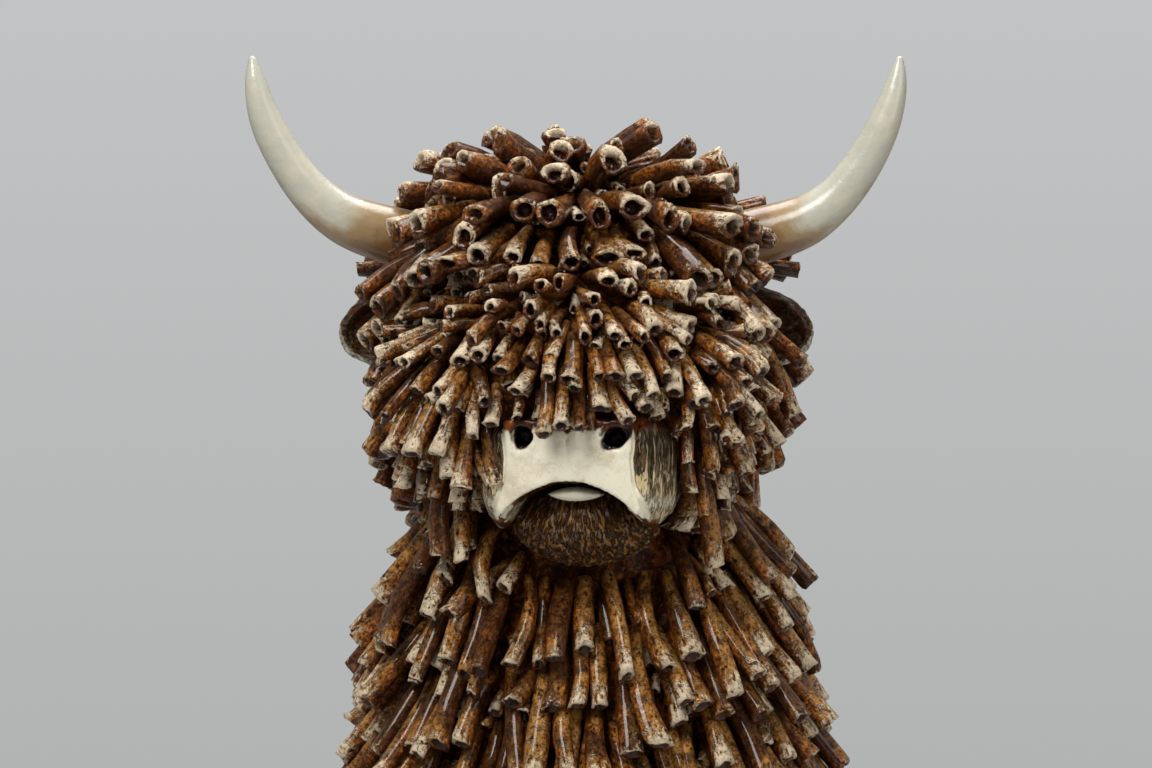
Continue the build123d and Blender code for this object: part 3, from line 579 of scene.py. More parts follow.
def apply_modifier(piece: bpy.types.Object, kind: str, **settings: object) -> None:
    """Selects the piece alone, adds a modifier to it and applies it."""
    clear_selection()
    piece.select_set(True)
    bpy.context.view_layer.objects.active = piece
    modifier = piece.modifiers.new(kind.lower(), kind)
    for name, value in settings.items():
        setattr(modifier, name, value)
    bpy.ops.object.modifier_apply(modifier=modifier.name)


def rows_of(items: bpy.types.bpy_prop_collection, key: str) -> Array:
    """The vector of each item, one row each: points in metres by the key co, normals by the key vector."""
    flat = np.empty(len(items) * 3)
    items.foreach_get(key, flat)
    return flat.reshape(-1, 3)


def set_attribute(mesh: bpy.types.Mesh, name: str, rows: Array) -> None:
    """Stores a number or a vector for each point of the mesh."""
    kind, part = ("FLOAT", "value") if rows.ndim == 1 else ("FLOAT_VECTOR", "vector")
    mesh.attributes.new(name, kind, "POINT").data.foreach_set(part, rows.astype(np.float32).ravel())


def smooth_faces(piece: bpy.types.Object) -> None:
    """Shades every face of the piece smoothly."""
    piece.data.polygons.foreach_set("use_smooth", np.ones(len(piece.data.polygons), dtype=bool))


def cloud_at(points: Array, pitch: float, seed: float) -> Array:
    """Soft noise near -1 to 1 at each point.

    Args:
        points: One row each, in millimetres.
        pitch: The size of the noise's features, in millimetres.
        seed: A number that sets this noise apart from others.

    Returns:
        One number for each point.
    """
    offset = Vector((seed, seed * 1.7, seed * 2.3))
    return np.array([noise.noise(Vector(p) / pitch + offset) for p in points])


class Skin:
    """A closed, evenly meshed copy of CAD nodes, with the points and normals that it starts from."""

    def __init__(self, name: str, nodes: Sequence[str], voxel: float, smoothing: int) -> None:
        """Makes the piece, which replaces the nodes and rides on the root body.

        Args:
            name: The new piece's name.
            nodes: The CAD nodes that it covers.
            voxel: The size of its faces, in millimetres.
            smoothing: How many times it is smoothed.
        """
        clear_selection()
        for node in nodes:
            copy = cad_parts[node].copy()
            copy.data = copy.data.copy()
            copy.parent = None
            for key in list(copy.keys()):
                del copy[key]
            bpy.context.scene.collection.objects.link(copy)
            copy.select_set(True)
            bpy.context.view_layer.objects.active = copy
        if len(nodes) > 1:
            bpy.ops.object.join()
        self.piece = bpy.context.view_layer.objects.active
        self.piece.name = name
        self.piece.data.name = name
        bpy.ops.object.mode_set(mode="EDIT")
        bpy.ops.mesh.select_all(action="SELECT")
        bpy.ops.mesh.remove_doubles(threshold=MERGE * MM)
        bpy.ops.object.mode_set(mode="OBJECT")
        apply_modifier(self.piece, "REMESH", mode="VOXEL", voxel_size=voxel * MM)
        if smoothing:
            apply_modifier(self.piece, "SMOOTH", factor=0.5, iterations=smoothing)
        smooth_faces(self.piece)
        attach(self.piece, "root")
        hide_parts(*nodes)
        self.mesh = self.piece.data
        self.points = rows_of(self.mesh.vertices, "co") / MM
        self.normals = rows_of(self.mesh.vertex_normals, "vector")

    def move_to(self, points: Array) -> None:
        """Moves every point to its new place, in millimetres."""
        self.mesh.vertices.foreach_set("co", (points * MM).ravel())
        self.mesh.update()

    def raise_by(self, rise: Array) -> None:
        """Moves every point along its normal by its own distance, in millimetres."""
        self.move_to(self.points + self.normals * rise[:, None])

    def paint(self, flow: Array, bare: Array, stain_and_shade: Array, pit: Array) -> None:
        """Stores the hair's flow and the masks of bare clay, brown stain with painted shade, and dark pits.
        """
        set_attribute(self.mesh, "hair_flow", flow)
        set_attribute(self.mesh, "paint", np.column_stack((bare, stain_and_shade, pit)))


def bell(values: Array, width: float = 1.0) -> Array:
    """One at zero, falling off evenly on both sides within a few widths."""
    return np.exp(-((values / width) ** 2))


def box_of(node: str) -> Array:
    """The low and the high corner of a CAD node, in millimetres."""
    return np.array(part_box(node)) / MM


def tree_of(node: str) -> BVHTree:
    """The search tree of a CAD node's skin, in millimetres."""
    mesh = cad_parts[node].data
    faces = [tuple(face.vertices) for face in mesh.polygons]
    return BVHTree.FromPolygons([point.co / MM for point in mesh.vertices], faces)


def dress(piece: bpy.types.Object, material: Material) -> None:
    """Gives a new piece its material and its slot, and reports it."""
    piece.data.materials.clear()
    piece.data.materials.append(material)
    log.info("%s: %d faces in %s", piece.name, len(piece.data.polygons), material.name)


def repaint(node: str, material: Material) -> None:
    """Gives a CAD node that stays its material, and reports it."""
    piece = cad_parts[node]
    for place in piece.material_slots:
        place.material = material
    if not piece.material_slots:
        piece.data.materials.append(material)
    log.info("%s: kept, in %s", node, material.name)


@dataclass(frozen=True)
class RollAxis:
    """One roll as the CAD model holds it: its root, its direction and its sizes, in millimetres."""

    root: Array
    way: Array
    length: float
    root_radius: float
    mouth_radius: float

    def radii(self, shares: Array) -> Array:
        """The roll's radius at shares of its length."""
        return self.root_radius + (self.mouth_radius - self.root_radius) * shares

    def stations(self) -> tuple[Array, Array]:
        """Points along the roll's free length, and its radius at each."""
        shares = np.linspace(0.2, 1.0, 7)
        return self.root + np.outer(shares, self.way) * self.length, self.radii(shares)

    def sides(self) -> tuple[Array, Array]:
        """Two directions square to the roll and to each other."""
        first = np.cross(self.way, (0.0, 0.0, 1.0) if abs(self.way[2]) < 0.9 else (1.0, 0.0, 0.0))
        first /= np.linalg.norm(first)
        return first, np.cross(self.way, first)


@dataclass(frozen=True)
class MasterRoll:
    """The straight roll of unit radius and length that every roll copies, and where its points lie."""

    faces: list[tuple[int, ...]]
    around: Array
    spread: Array
    inside: Array
    share: Array
    hollow: Array


@dataclass
class RollCoat:
    """The coat of hollow clay rolls. Each is a bent, flared and wrinkled copy of one, on its CAD axis."""

    material: Material
    sides: int = 11
    ring_shares: tuple[float, ...] = (0.0, 0.3, 0.65, 0.94, 1.0)
    wall_share: float = 0.34
    hollow_taper: float = 0.92
    hollow_depth: float = 3.2
    girth: float = 1.06
    spiral: float = 0.14
    bend: float = 1.5
    droop: float = 1.7
    sag: float = 1.9
    full_bend_length: float = 20.0
    oval: float = 0.1
    pinch: float = 0.2
    flare: float = 0.12
    flare_start: float = 0.6
    wrinkle: float = 0.055
    ragged: float = 0.13
    ragged_start: float = 0.86
    rim_start: float = 0.9
    rim_round: float = 0.1
    rim_wave: float = 0.03
    rim_chip: float = 0.07
    bedded_tries: int = 6
    bedded_reach: float = 7.0
    bedded_depth: float = 0.9
    bedded_turn: float = 0.8
    bedded_crowding: float = 0.72
    bedded_search: float = 8.0
    bedded_into_firm: float = 0.8
    bedded_pad_gap: float = 4.5
    bedded_pad_side: float = 1.0
    pad_overhang: float = 2.0
    shortest_share: float = 0.6
    usual_lean: float = 26.0
    outward_lift: float = 0.45
    head_drop: float = 45.0
    body_middle: float = 12.0
    head_middle: Array = field(default_factory=lambda: box_of("head_core").mean(axis=0))
    pad_corners: Array = field(default_factory=lambda: box_of("nose_pad"))
    weld: float = 0.001
    fit_tolerance: float = 0.02
    ground_gap: float = 0.1

    def build(self, nodes: Sequence[str]) -> None:
        """Makes one piece for each node of rolls."""
        master = self._master()
        coats = {node: [self._off_pad(axis) for axis in self._axes(node)] for node in nodes}
        bedded = self._bedded(coats)
        for node in nodes:
            dice = np.random.default_rng(zlib.crc32(node.encode()))
            laid = [self._bent(axis, master, dice) for axis in coats[node] + bedded[node]]
            self._piece(node, laid, master.faces)

    def _off_pad(self, axis: RollAxis) -> RollAxis:
        """The roll, worn shorter where it would hang over the middle of the nose pad."""
        mouth = axis.root + axis.way * axis.length
        low, high = self.pad_corners
        middle, quarter = (low + high) / 2, (high - low) / 4
        ends_at = high[2] - self.pad_overhang
        if abs(mouth[0] - middle[0]) > quarter[0] or mouth[1] > high[1] or not low[2] < mouth[2] < ends_at:
            return axis
        share = (ends_at - axis.root[2]) / (mouth[2] - axis.root[2])
        log.info("worn shorter over the pad: %.2f of %.1f mm", share, axis.length)
        return replace(axis, length=axis.length * min(max(share, self.shortest_share), 1.0))

    def _bedded(self, coats: dict[str, list[RollAxis]]) -> dict[str, list[RollAxis]]:
        """Finds room for shorter rolls bedded between and below those of the CAD model.

        Args:
            coats: The CAD rolls of each node.

        Returns:
            The further rolls of each node, which may press into their neighbours a little.
        """
        dice = np.random.default_rng(self.sides)
        laid = [axis.stations() for rolls in coats.values() for axis in rolls]
        places, radii = np.vstack([rows[0] for rows in laid]), np.concatenate([rows[1] for rows in laid])
        firm = [tree_of(node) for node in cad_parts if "_rolls" not in node and "core" not in node]
        bedded: dict[str, list[RollAxis]] = {node: [] for node in coats}
        for node, rolls in coats.items():
            for axis in (axis for axis in rolls for _ in range(self.bedded_tries)):
                roll = self._beside(axis, dice)
                if self._has_room(roll, places, radii, firm):
                    bedded[node].append(roll)
                    points, widths = roll.stations()
                    places, radii = np.vstack((places, points)), np.concatenate((radii, widths))
        log.info("bedded rolls: %d", sum(map(len, bedded.values())))
        return bedded

    def _has_room(self, roll: RollAxis, places: Array, radii: Array, firm: Sequence[BVHTree]) -> bool:
        """Whether a bedded roll keeps off the ground, the pad, the set-in pieces and other rolls' middles.

        Args:
            roll: The roll to be bedded.
            places: Points along the rolls that lie already.
            radii: The radius at each of these points.
            firm: The search trees of the pieces that no roll goes into.
        """
        points, widths = roll.stations()
        low, high = self.pad_corners
        off_pad = np.abs(points - (low + high) / 2) - (high - low) / 2
        at_pad = (off_pad[:, 0] < self.bedded_pad_side) & (off_pad[:, 2] < self.bedded_pad_gap)
        if (points[:, 2] < widths + self.ground_gap).any() or (at_pad & (points[:, 1] < high[1])).any():
            return False
        near = np.abs(places - roll.root).max(axis=1) < roll.length + self.bedded_search
        apart = np.linalg.norm(points[:, None] - places[near][None], axis=2)
        if (apart < self.bedded_crowding * (widths[:, None] + radii[near][None])).any():
            return False
        reaches = widths * self.bedded_into_firm
        return not any(tree.find_nearest(Vector(p), r)[0] for tree in firm for p, r in zip(points, reaches))

    def _beside(self, axis: RollAxis, dice: Dice) -> RollAxis:
        """A chance roll a little aside from, and below, a CAD roll."""
        outward = self._outward(axis)
        side = np.cross(axis.way, outward)
        lean = math.radians(self.usual_lean)
        normal = outward * math.cos(lean) + axis.way * math.sin(lean)
        combed = axis.way * math.cos(lean) - outward * math.sin(lean)
        aside, along = dice.uniform(-1, 1, 2) * self.bedded_reach
        root = axis.root + side * aside + combed * along - normal * self.bedded_depth
        way = axis.way + side * dice.uniform(-1, 1) * self.bedded_turn - normal * dice.uniform(0.0, 0.2)
        way /= np.linalg.norm(way)
        size = dice.uniform(0.8, 1.0)
        length = axis.length * dice.uniform(0.65, 0.95)
        return RollAxis(root, way, length, axis.root_radius * size, axis.mouth_radius * size)

    def _master(self) -> MasterRoll:
        """Models the straight roll, open at its mouth."""
        clear_selection()
        bpy.ops.mesh.primitive_circle_add(vertices=self.sides, radius=1, fill_type="NGON")
        bpy.ops.object.mode_set(mode="EDIT")
        bpy.ops.mesh.select_all(action="SELECT")
        for low, high in zip(self.ring_shares, self.ring_shares[1:]):
            bpy.ops.mesh.extrude_region_move(TRANSFORM_OT_translate={"value": (0, 0, high - low)})
        bpy.ops.mesh.inset(thickness=self.wall_share)
        bpy.ops.mesh.extrude_region_move(TRANSFORM_OT_translate={"value": (0, 0, -1)})
        bpy.ops.transform.resize(value=(self.hollow_taper, self.hollow_taper, 1))
        bpy.ops.mesh.select_all(action="SELECT")
        bpy.ops.mesh.normals_make_consistent(inside=False)
        bpy.ops.object.mode_set(mode="OBJECT")
        master = bpy.context.object
        x, y, z = rows_of(master.data.vertices, "co").T
        faces = [tuple(face.vertices) for face in master.data.polygons]
        bpy.data.objects.remove(master)
        inside = np.hypot(x, y) < 0.99
        share, hollow = np.where(inside, 1.0, z), np.where(inside, 1.0 - z, 0.0)
        return MasterRoll(faces, np.arctan2(y, x), np.hypot(x, y), inside, share, hollow)

    def _axes(self, node: str) -> list[RollAxis]:
        """Reads the rolls of a CAD node: each loose island of its mesh is one roll."""
        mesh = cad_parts[node].data
        corners = np.empty(len(mesh.loops), dtype=int)
        mesh.loops.foreach_get("vertex_index", corners)
        cells = np.round(rows_of(mesh.vertices, "co") / MM / self.weld).astype(np.int64)
        keys, same = np.unique(cells, axis=0, return_inverse=True)
        triangles = same.ravel()[corners].reshape(-1, 3)
        island = np.arange(len(keys))
        while True:
            lowest = island[triangles].min(axis=1)
            joined = island.copy()
            np.minimum.at(joined, triangles.ravel(), np.repeat(lowest, 3))
            joined = joined[joined]
            if np.array_equal(joined, island):
                break
            island = joined
        welded = keys * self.weld
        return [self._axis(welded[island == label]) for label in np.unique(island)]

    def _axis(self, points: Array) -> RollAxis:
        """Fits one roll: the end with more points is its open mouth."""
        middle = (points.min(axis=0) + points.max(axis=0)) / 2
        _, _, ways = np.linalg.svd(points - points.mean(axis=0), full_matrices=False)
        way = ways[0]
        along = (points - middle) @ way
        low, high = along < along.min() + self.fit_tolerance, along > along.max() - self.fit_tolerance
        if low.sum() > high.sum():
            way, along, low, high = -way, -along, high, low
        root = points[low].mean(axis=0)
        offset = points - root
        radial = np.linalg.norm(offset - np.outer(offset @ way, way), axis=1)
        length = float(along.max() - along.min())
        return RollAxis(root, way, length, float(radial[low].max()), float(radial[high].max()))

    def _bent(self, axis: RollAxis, master: MasterRoll, dice: Dice) -> tuple[Array, ...]:
        """Lays one master roll on an axis.

        Args:
            axis: The CAD roll.
            master: The straight roll.
            dice: The seeded chances, always drawn in the same order.

        Returns:
            The points in millimetres, their places on the straight roll, and their traits.
        """
        x, y, z = self._shaped(axis, master, dice)
        around, share = master.around, master.share
        scale = min(axis.length / self.full_bend_length, 1.0)
        offsets = self._curve(share, scale, dice)

        first, second = axis.sides()
        points = axis.root + np.outer(x + offsets[:, 0], first) + np.outer(y + offsets[:, 1], second)
        points += np.outer(z, axis.way)
        points[:, 2] -= self.sag * scale**2 * share**2 * math.hypot(axis.way[0], axis.way[1])
        points[:, 2] = np.maximum(points[:, 2], self.ground_gap)
        stray = dice.uniform(0, 400, 2)
        places = np.column_stack((x + stray[0], y + stray[1], axis.length - z))
        chance = np.full(len(x), dice.uniform(-1, 1))
        open_side = (np.outer(np.cos(around), first) + np.outer(np.sin(around), second)) @ self._outward(axis)
        return points, places, np.column_stack((chance, open_side, master.hollow > 0.001))

    def _shaped(self, axis: RollAxis, master: MasterRoll, dice: Dice) -> tuple[Array, ...]:
        """Wrinkles, lobes, flares and squashes a straight roll and chips its rim.

        Args:
            axis: The CAD roll.
            master: The straight roll.
            dice: The seeded chances.

        Returns:
            The points' two distances off the axis, and their distance along it.
        """
        around, share = master.around, master.share
        waves = dice.normal(0, self.wrinkle, 101)[np.round(share * 100).astype(int)]
        lobes = np.sin(2 * around + dice.uniform(0, 6) + share * 3) + np.sin(3 * around + dice.uniform(0, 6))
        step = np.round(around / (2 * math.pi) * self.sides).astype(int) % self.sides
        chips = dice.normal(0, 1, (2, self.sides))[:, step] * smooth_step(share, self.rim_start, 1.0)
        to_mouth = smooth_step(share, self.flare_start, 1.0)
        flared = dice.uniform(-1.0, 0.5) * self.flare * to_mouth
        wound = self.spiral * (((around + dice.uniform(0, 6)) / (2 * math.pi)) % 1.0 - 0.5)
        rounded = self.rim_round * ((share == 1.0) & ~master.inside)
        uneven = 1 + waves + self.wrinkle * lobes + wound + flared - rounded + self.rim_wave * chips[0]
        radius = axis.radii(share) * self.girth * master.spread * uneven
        squash = dice.uniform(-1, 1) * self.oval + dice.uniform(-1, 1) * self.pinch * to_mouth
        slant = np.cos(around + dice.uniform(0, 6)) + 0.5 * np.sin(3 * around + dice.uniform(0, 6))
        lost = self.ragged * slant - self.ragged - self.rim_chip * np.abs(chips[1])
        depth = master.hollow * min(self.hollow_depth, axis.length / 2)
        uncut = axis.length * share - depth
        z = uncut + axis.mouth_radius * smooth_step(share, self.ragged_start, 1.0) * lost
        return radius * np.cos(around) * (1 + squash), radius * np.sin(around) * (1 - squash), z

    def _curve(self, share: Array, scale: float, dice: Dice) -> Array:
        """How far a bowed and drooping roll leaves its axis, to its two sides."""
        to_bow, to_drop = ((math.cos(turn), math.sin(turn)) for turn in dice.uniform(0, 2 * math.pi, 2))
        bow = dice.normal(0, self.bend) * scale * 4 * share * (1 - share)
        drop = dice.normal(0, self.droop) * scale * share**2
        return np.outer(bow, to_bow) + np.outer(drop, to_drop)

    def _outward(self, axis: RollAxis) -> Array:
        """The side of a roll that faces away from the figurine, and a little up."""
        middle = axis.root + axis.way * axis.length / 2
        on_head = middle[2] > self.head_middle[2] - self.head_drop
        away = middle - (self.head_middle if on_head else np.array([0.0, self.body_middle, middle[2]]))
        away = away / np.linalg.norm(away) + np.array([0.0, 0.0, self.outward_lift])
        away -= axis.way * (away @ axis.way)
        return away / np.linalg.norm(away)

    def _piece(self, node: str, laid: Sequence[tuple[Array, ...]], faces: Sequence[tuple[int, ...]]) -> None:
        """Joins a node's bent rolls into one piece.

        Args:
            node: The CAD node that the piece replaces.
            laid: The points, places and traits of each roll.
            faces: The faces of one roll.
        """
        points, places, traits = (np.vstack(rows) for rows in zip(*laid))
        count = len(points) // len(laid)
        mesh = bpy.data.meshes.new(f"{node}.clay")
        corners = [tuple(index + n * count for index in face) for n in range(len(laid)) for face in faces]
        mesh.from_pydata(points * MM, [], corners)
        set_attribute(mesh, "roll_place", places)
        set_attribute(mesh, "roll_traits", traits)
        piece = bpy.data.objects.new(mesh.name, mesh)
        bpy.context.scene.collection.objects.link(piece)
        smooth_faces(piece)
        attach(piece, "root")
        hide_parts(node)
        dress(piece, self.material)


@dataclass(frozen=True)
class Nostril:
    """One nostril's opening on the pad, in millimetres; a slanted one rises away from the middle."""

    side: Side
    width: float
    height: float
    slant: float


@dataclass
class Muzzle:
    """The broad muzzle: a cream pad over haired cheeks, two black nostrils, a crease, a lip and a chin."""

    material: Material
    chin_material: Material
    turn: float = 12.0
    voxel: float = 0.45
    chin_voxel: float = 0.4
    lip_voxel: float = 0.25
    pad_top: float = 12.0
    pad_reach: float = 0.55
    pad_softness: int = 4
    cheek_swell: float = 1.0
    crease_depth: float = 0.5
    crease_width: float = 0.7
    crease_length: float = 14.0
    crease_aside: float = 0.4
    nostril_out: float = 11.6
    nostril_drop: float = 4.4
    nostrils: tuple[Nostril, ...] = (Nostril(Side.LEFT, 2.2, 2.8, 0.0), Nostril(Side.RIGHT, 3.7, 2.5, 0.3))
    nostril_unevenness: float = 0.2
    nostril_extra: float = 2.2
    wing_rise: float = 0.3
    lobe_rise: float = 0.45
    lobe_out: float = 9.5
    lobe_drop: float = 1.5
    lobe_half: tuple[float, float] = (6.5, 5.5)
    pad_waves: float = 0.25
    cheek_score: float = 0.512
    chin_score: float = 0.5
    chin_tufts: float = 0.45
    lip_swell: float = 0.3
    lip_lift: float = 0.5
    lip_forward: float = 3.0

    def build(self) -> None:
        """Sculpts the muzzle and its pad as one skin, then the chin and the lip."""
        self._skin()
        self._chin()
        self._lip()

    def _turned(self, ways: Array) -> Array:
        """Directions in the pad's own frame: across, forward and up."""
        spin = math.radians(self.turn)
        across = ways[:, 0] * math.cos(spin) - ways[:, 1] * math.sin(spin)
        forward = -(ways[:, 0] * math.sin(spin) + ways[:, 1] * math.cos(spin))
        return np.column_stack((across, forward, ways[:, 2]))

    def _local(self, points: Array) -> Array:
        """Points in the pad's own frame, from its middle, in millimetres."""
        return self._turned(points - box_of("nose_pad").mean(axis=0))

    def _pad_mask(self, skin: Skin) -> Array:
        """One on the pad and zero off it, softened over the mesh's edges."""
        tree = tree_of("nose_pad")
        gaps = np.array([tree.find_nearest(Vector(p))[3] for p in skin.points])
        mask = (gaps < self.pad_reach).astype(float)
        edges = np.empty(len(skin.mesh.edges) * 2, dtype=int)
        skin.mesh.edges.foreach_get("vertices", edges)
        edges = edges.reshape(-1, 2)
        for _ in range(self.pad_softness):
            total, count = mask.copy(), np.ones(len(mask))
            for one, other in ((0, 1), (1, 0)):
                np.add.at(total, edges[:, one], mask[edges[:, other]])
                np.add.at(count, edges[:, one], 1)
            mask = total / count
        return mask

    def _skin(self) -> None:
        """Sculpts the joined snout and pad."""
        skin = Skin("muzzle.clay", ("snout", "nose_pad"), self.voxel, 5)
        local = self._local(skin.points)
        across, forward, up = local.T
        _, facing, lifted = self._turned(skin.normals).T
        facing = smooth_step(facing, 0.1, 0.7)
        pad = self._pad_mask(skin)
        off_pad = 1 - pad

        rise = self.cheek_swell * off_pad * smooth_step(forward, -26.0, -6.0)
        rise *= smooth_step(np.abs(across), 12.0, 17.0)
        crease = bell(across + self.crease_aside, self.crease_width)
        crease *= smooth_step(up, self.pad_top - self.crease_length, self.pad_top)
        rise -= self.crease_depth * crease * facing
        cut, pit, seep = self._nostrils(local, cloud_at(skin.points, 2.6, 14.0), facing)
        flow = np.column_stack((np.abs(across) - forward, up, np.zeros(len(up))))
        rise += cut + self.cheek_score * cloud_at(flow * np.array([1.0, 0.16, 1.0]), 1.5, 3.0) * off_pad
        skin.raise_by(rise + self.pad_waves * cloud_at(skin.points, 7.0, 8.0) * pad)

        stain_and_shade = smooth_step(up, 7.4, self.pad_top) * 0.85 + crease * 0.5 + pit * 0.4 + seep * 0.55
        stain_and_shade += bell(pad - 0.5, 0.3) * 0.28 * smooth_step(up, -2.0, 8.0)
        glazed = off_pad * np.maximum(smooth_step(up, 8.0, 13.0), smooth_step(up, -9.5, -13.0) * 0.7)
        stain_and_shade = np.clip(np.maximum(stain_and_shade, glazed * 0.9), 0, 1)
        # painted shade: brown on the faces of the muzzle that point down
        stain_and_shade = np.maximum(stain_and_shade, smooth_step(lifted, -0.55, -0.9) * 0.75)
        rubbed = off_pad * bell(up + 7.5, 3.2) * 0.5
        set_attribute(skin.mesh, "shade", off_pad * smooth_step(up, -6.0, 6.0))
        skin.paint(flow, pad + rubbed, stain_and_shade, pit)
        dress(skin.piece, self.material)

    def _nostrils(self, local: Array, uneven: Array, facing: Array) -> tuple[Array, ...]:
        """Shapes the nostrils, their wings and the pad's two lobes.

        Args:
            local: The skin's points in the pad's own frame.
            uneven: The noise that makes the rims ragged.
            facing: How much each point faces forward.

        Returns:
            How far each point rises, and the masks of the dark pits and of the stain round them.
        """
        across, forward, up = local.T
        rise, pit, seep = (np.zeros(len(local)) for _ in range(3))
        for nostril in self.nostrils:
            side = nostril.side.value
            off = (across - side * self.nostril_out) * side
            above = up - self.pad_top + self.nostril_drop
            reach = np.hypot(off / nostril.width, (above - off * nostril.slant) / nostril.height)
            reach += self.nostril_unevenness * uneven
            pit = np.maximum(pit, smooth_step(reach, 1.12, 0.9) * smooth_step(forward, -6.0, -3.0))
            ring = bell(reach - 1.15, 0.3) * facing
            seep = np.maximum(seep, ring * smooth_step(above + 2.5 * uneven, -1.5, 2.0))
            wide, high = self.lobe_half
            lobe = bell(np.hypot((across - side * self.lobe_out) / wide, (up + self.lobe_drop) / high))
            wing = bell(reach - 1.55, 0.38)
            sunk = smooth_step(reach, 1.0, 0.5)
            rise += (self.wing_rise * wing + self.lobe_rise * lobe - self.nostril_extra * sunk) * facing
        return rise, pit, seep

    def _chin(self) -> None:
        """Sculpts the haired chin, its strands fanning out from under the lip."""
        skin = Skin("chin.clay", ("chin",), self.chin_voxel, 3)
        across, forward, up = self._local(skin.points).T
        top = up.max()
        drop = top - up + 4.0
        fan = np.arctan2(across, drop + 6.0)
        reach = np.hypot(across, drop) + np.abs(forward) * 0.6
        flow = np.column_stack((fan * 16.0, reach * 1.4, forward * 0.3))
        strokes = np.abs(cloud_at(flow * np.array([1.0, 0.18, 1.0]), 1.3, 5.0)) * 2.2 - 0.55
        skin.raise_by(self.chin_score * strokes + self.chin_tufts * cloud_at(skin.points, 4.5, 9.0))
        none = np.zeros(len(up))
        skin.paint(flow, none, smooth_step(up, top - 2.2, top) * 0.9, none)
        dress(skin.piece, self.chin_material)

    def _lip(self) -> None:
        """Rounds the pale lower lip into a lens."""
        skin = Skin("lower_lip.clay", ("lower_lip",), self.lip_voxel, 3)
        across = np.abs(self._local(skin.points)[:, 0])
        grown = skin.points + skin.normals * self.lip_swell
        middle = (grown.min(axis=0) + grown.max(axis=0)) / 2
        lens = np.sqrt(np.clip(1 - (across / across.max()) ** 2, 0.06, 1))
        grown[:, 2] = middle[2] + (grown[:, 2] - middle[2]) * lens
        skin.move_to(grown + np.array([0.0, -self.lip_forward, self.lip_lift]))
        stain_and_shade = smooth_step(across, 4.6, 7.0) * 0.6
        skin.paint(skin.points, np.ones(len(across)), stain_and_shade, np.zeros(len(across)))
        dress(skin.piece, self.material)


@dataclass
class Horns:
    """The two smooth curved horns."""

    material: Material
    voxel: float = 0.55
    unevenness: float = 0.22

    def build(self) -> None:
        """Smooths each horn's mesh and marks its underside, where stain and painted shade turn it brown."""
        for side in Side:
            node = f"horn_{side.name.lower()}"
            skin = Skin(f"{node}.clay", (node,), self.voxel, 10)
            skin.raise_by(self.unevenness * cloud_at(skin.points, 13.0, 2.0 + side.value))
            under = -skin.normals[:, 2] + np.abs(skin.normals[:, 0]) * 0.4
            set_attribute(skin.mesh, "underside", smooth_step(under, 0.1, 1.1))
            dress(skin.piece, self.material)


@dataclass
class Ears:
    """The two cupped ears, scored with hair and tan along the rim."""

    material: Material
    voxel: float = 0.45
    score: float = 0.35
    lump: float = 0.35
    rim_start: float = 0.88
    rim_end: float = 0.98

    def build(self) -> None:
        """Scores each ear and marks its rim and its cup."""
        for side in Side:
            node = f"ear_{side.name.lower()}"
            skin = Skin(f"{node}.clay", (node,), self.voxel, 2)
            low, high = box_of(node)
            rel = (skin.points - (low + high) / 2) / ((high - low) / 2)
            x, y, z = skin.points.T
            flow = np.column_stack((z * 1.2, x, y))
            strokes = cloud_at(flow * np.array([1.0, 0.2, 0.4]), 1.5, 6.0)
            rim = smooth_step(np.hypot(rel[:, 0], rel[:, 2]), self.rim_start, self.rim_end)
            cup = smooth_step(-skin.normals[:, 1], 0.2, 0.7) * (1 - rim)
            skin.raise_by(self.score * strokes + self.lump * cloud_at(skin.points, 6.0, 4.0))
            skin.paint(flow, rim * 0.5, cup * 0.4, cup * 0.55)
            dress(skin.piece, self.material)


@dataclass
class Feet:
    """The four cloven hooves on their pasterns."""

    material: Material
    voxel: float = 0.6
    band: float = 0.3
    lump: float = 0.35

    def build(self) -> None:
        """Softens and roughens each hoof."""
        for node in (f"{pair}_hoof_{side.name.lower()}" for pair in ("fore", "hind") for side in Side):
            skin = Skin(f"{node}.clay", (node,), self.voxel, 3)
            bands = cloud_at(skin.points * np.array([0.1, 0.1, 1.0]), 2.2, 7.0)
            rise = self.band * bands + self.lump * cloud_at(skin.points, 6.0, 1.0)
            rise *= smooth_step(skin.points[:, 2], 0.4, 2.0)
            moved = skin.points + skin.normals * rise[:, None]
            moved[:, 2] = np.maximum(moved[:, 2], 0.0)
            skin.move_to(moved)
            dress(skin.piece, self.material)


@dataclass
class Cores:
    """The two lumpy glazed cores and the tail's rope."""

    material: Material
    lump: float = 0.7

    def build(self) -> None:
        """Covers each core and the tail with lumps."""
        for node, voxel, pitch in (("head_core", 1.2, 4.5), ("body_core", 1.6, 5.5), ("tail", 0.6, 3.2)):
            skin = Skin(f"{node}.clay", (node,), voxel, 1)
            off_ground = smooth_step(skin.points[:, 2], 1.5, 4.0)
            skin.raise_by(self.lump * (cloud_at(skin.points, pitch, 1.5) - 0.1) * off_ground)
            dress(skin.piece, self.material)


@dataclass(frozen=True)
class Lamp:
    """A soft square lamp: where it stands, the length of its side and its power in watts."""

    name: str
    place: tuple[float, float, float]
    size: float
    power: float


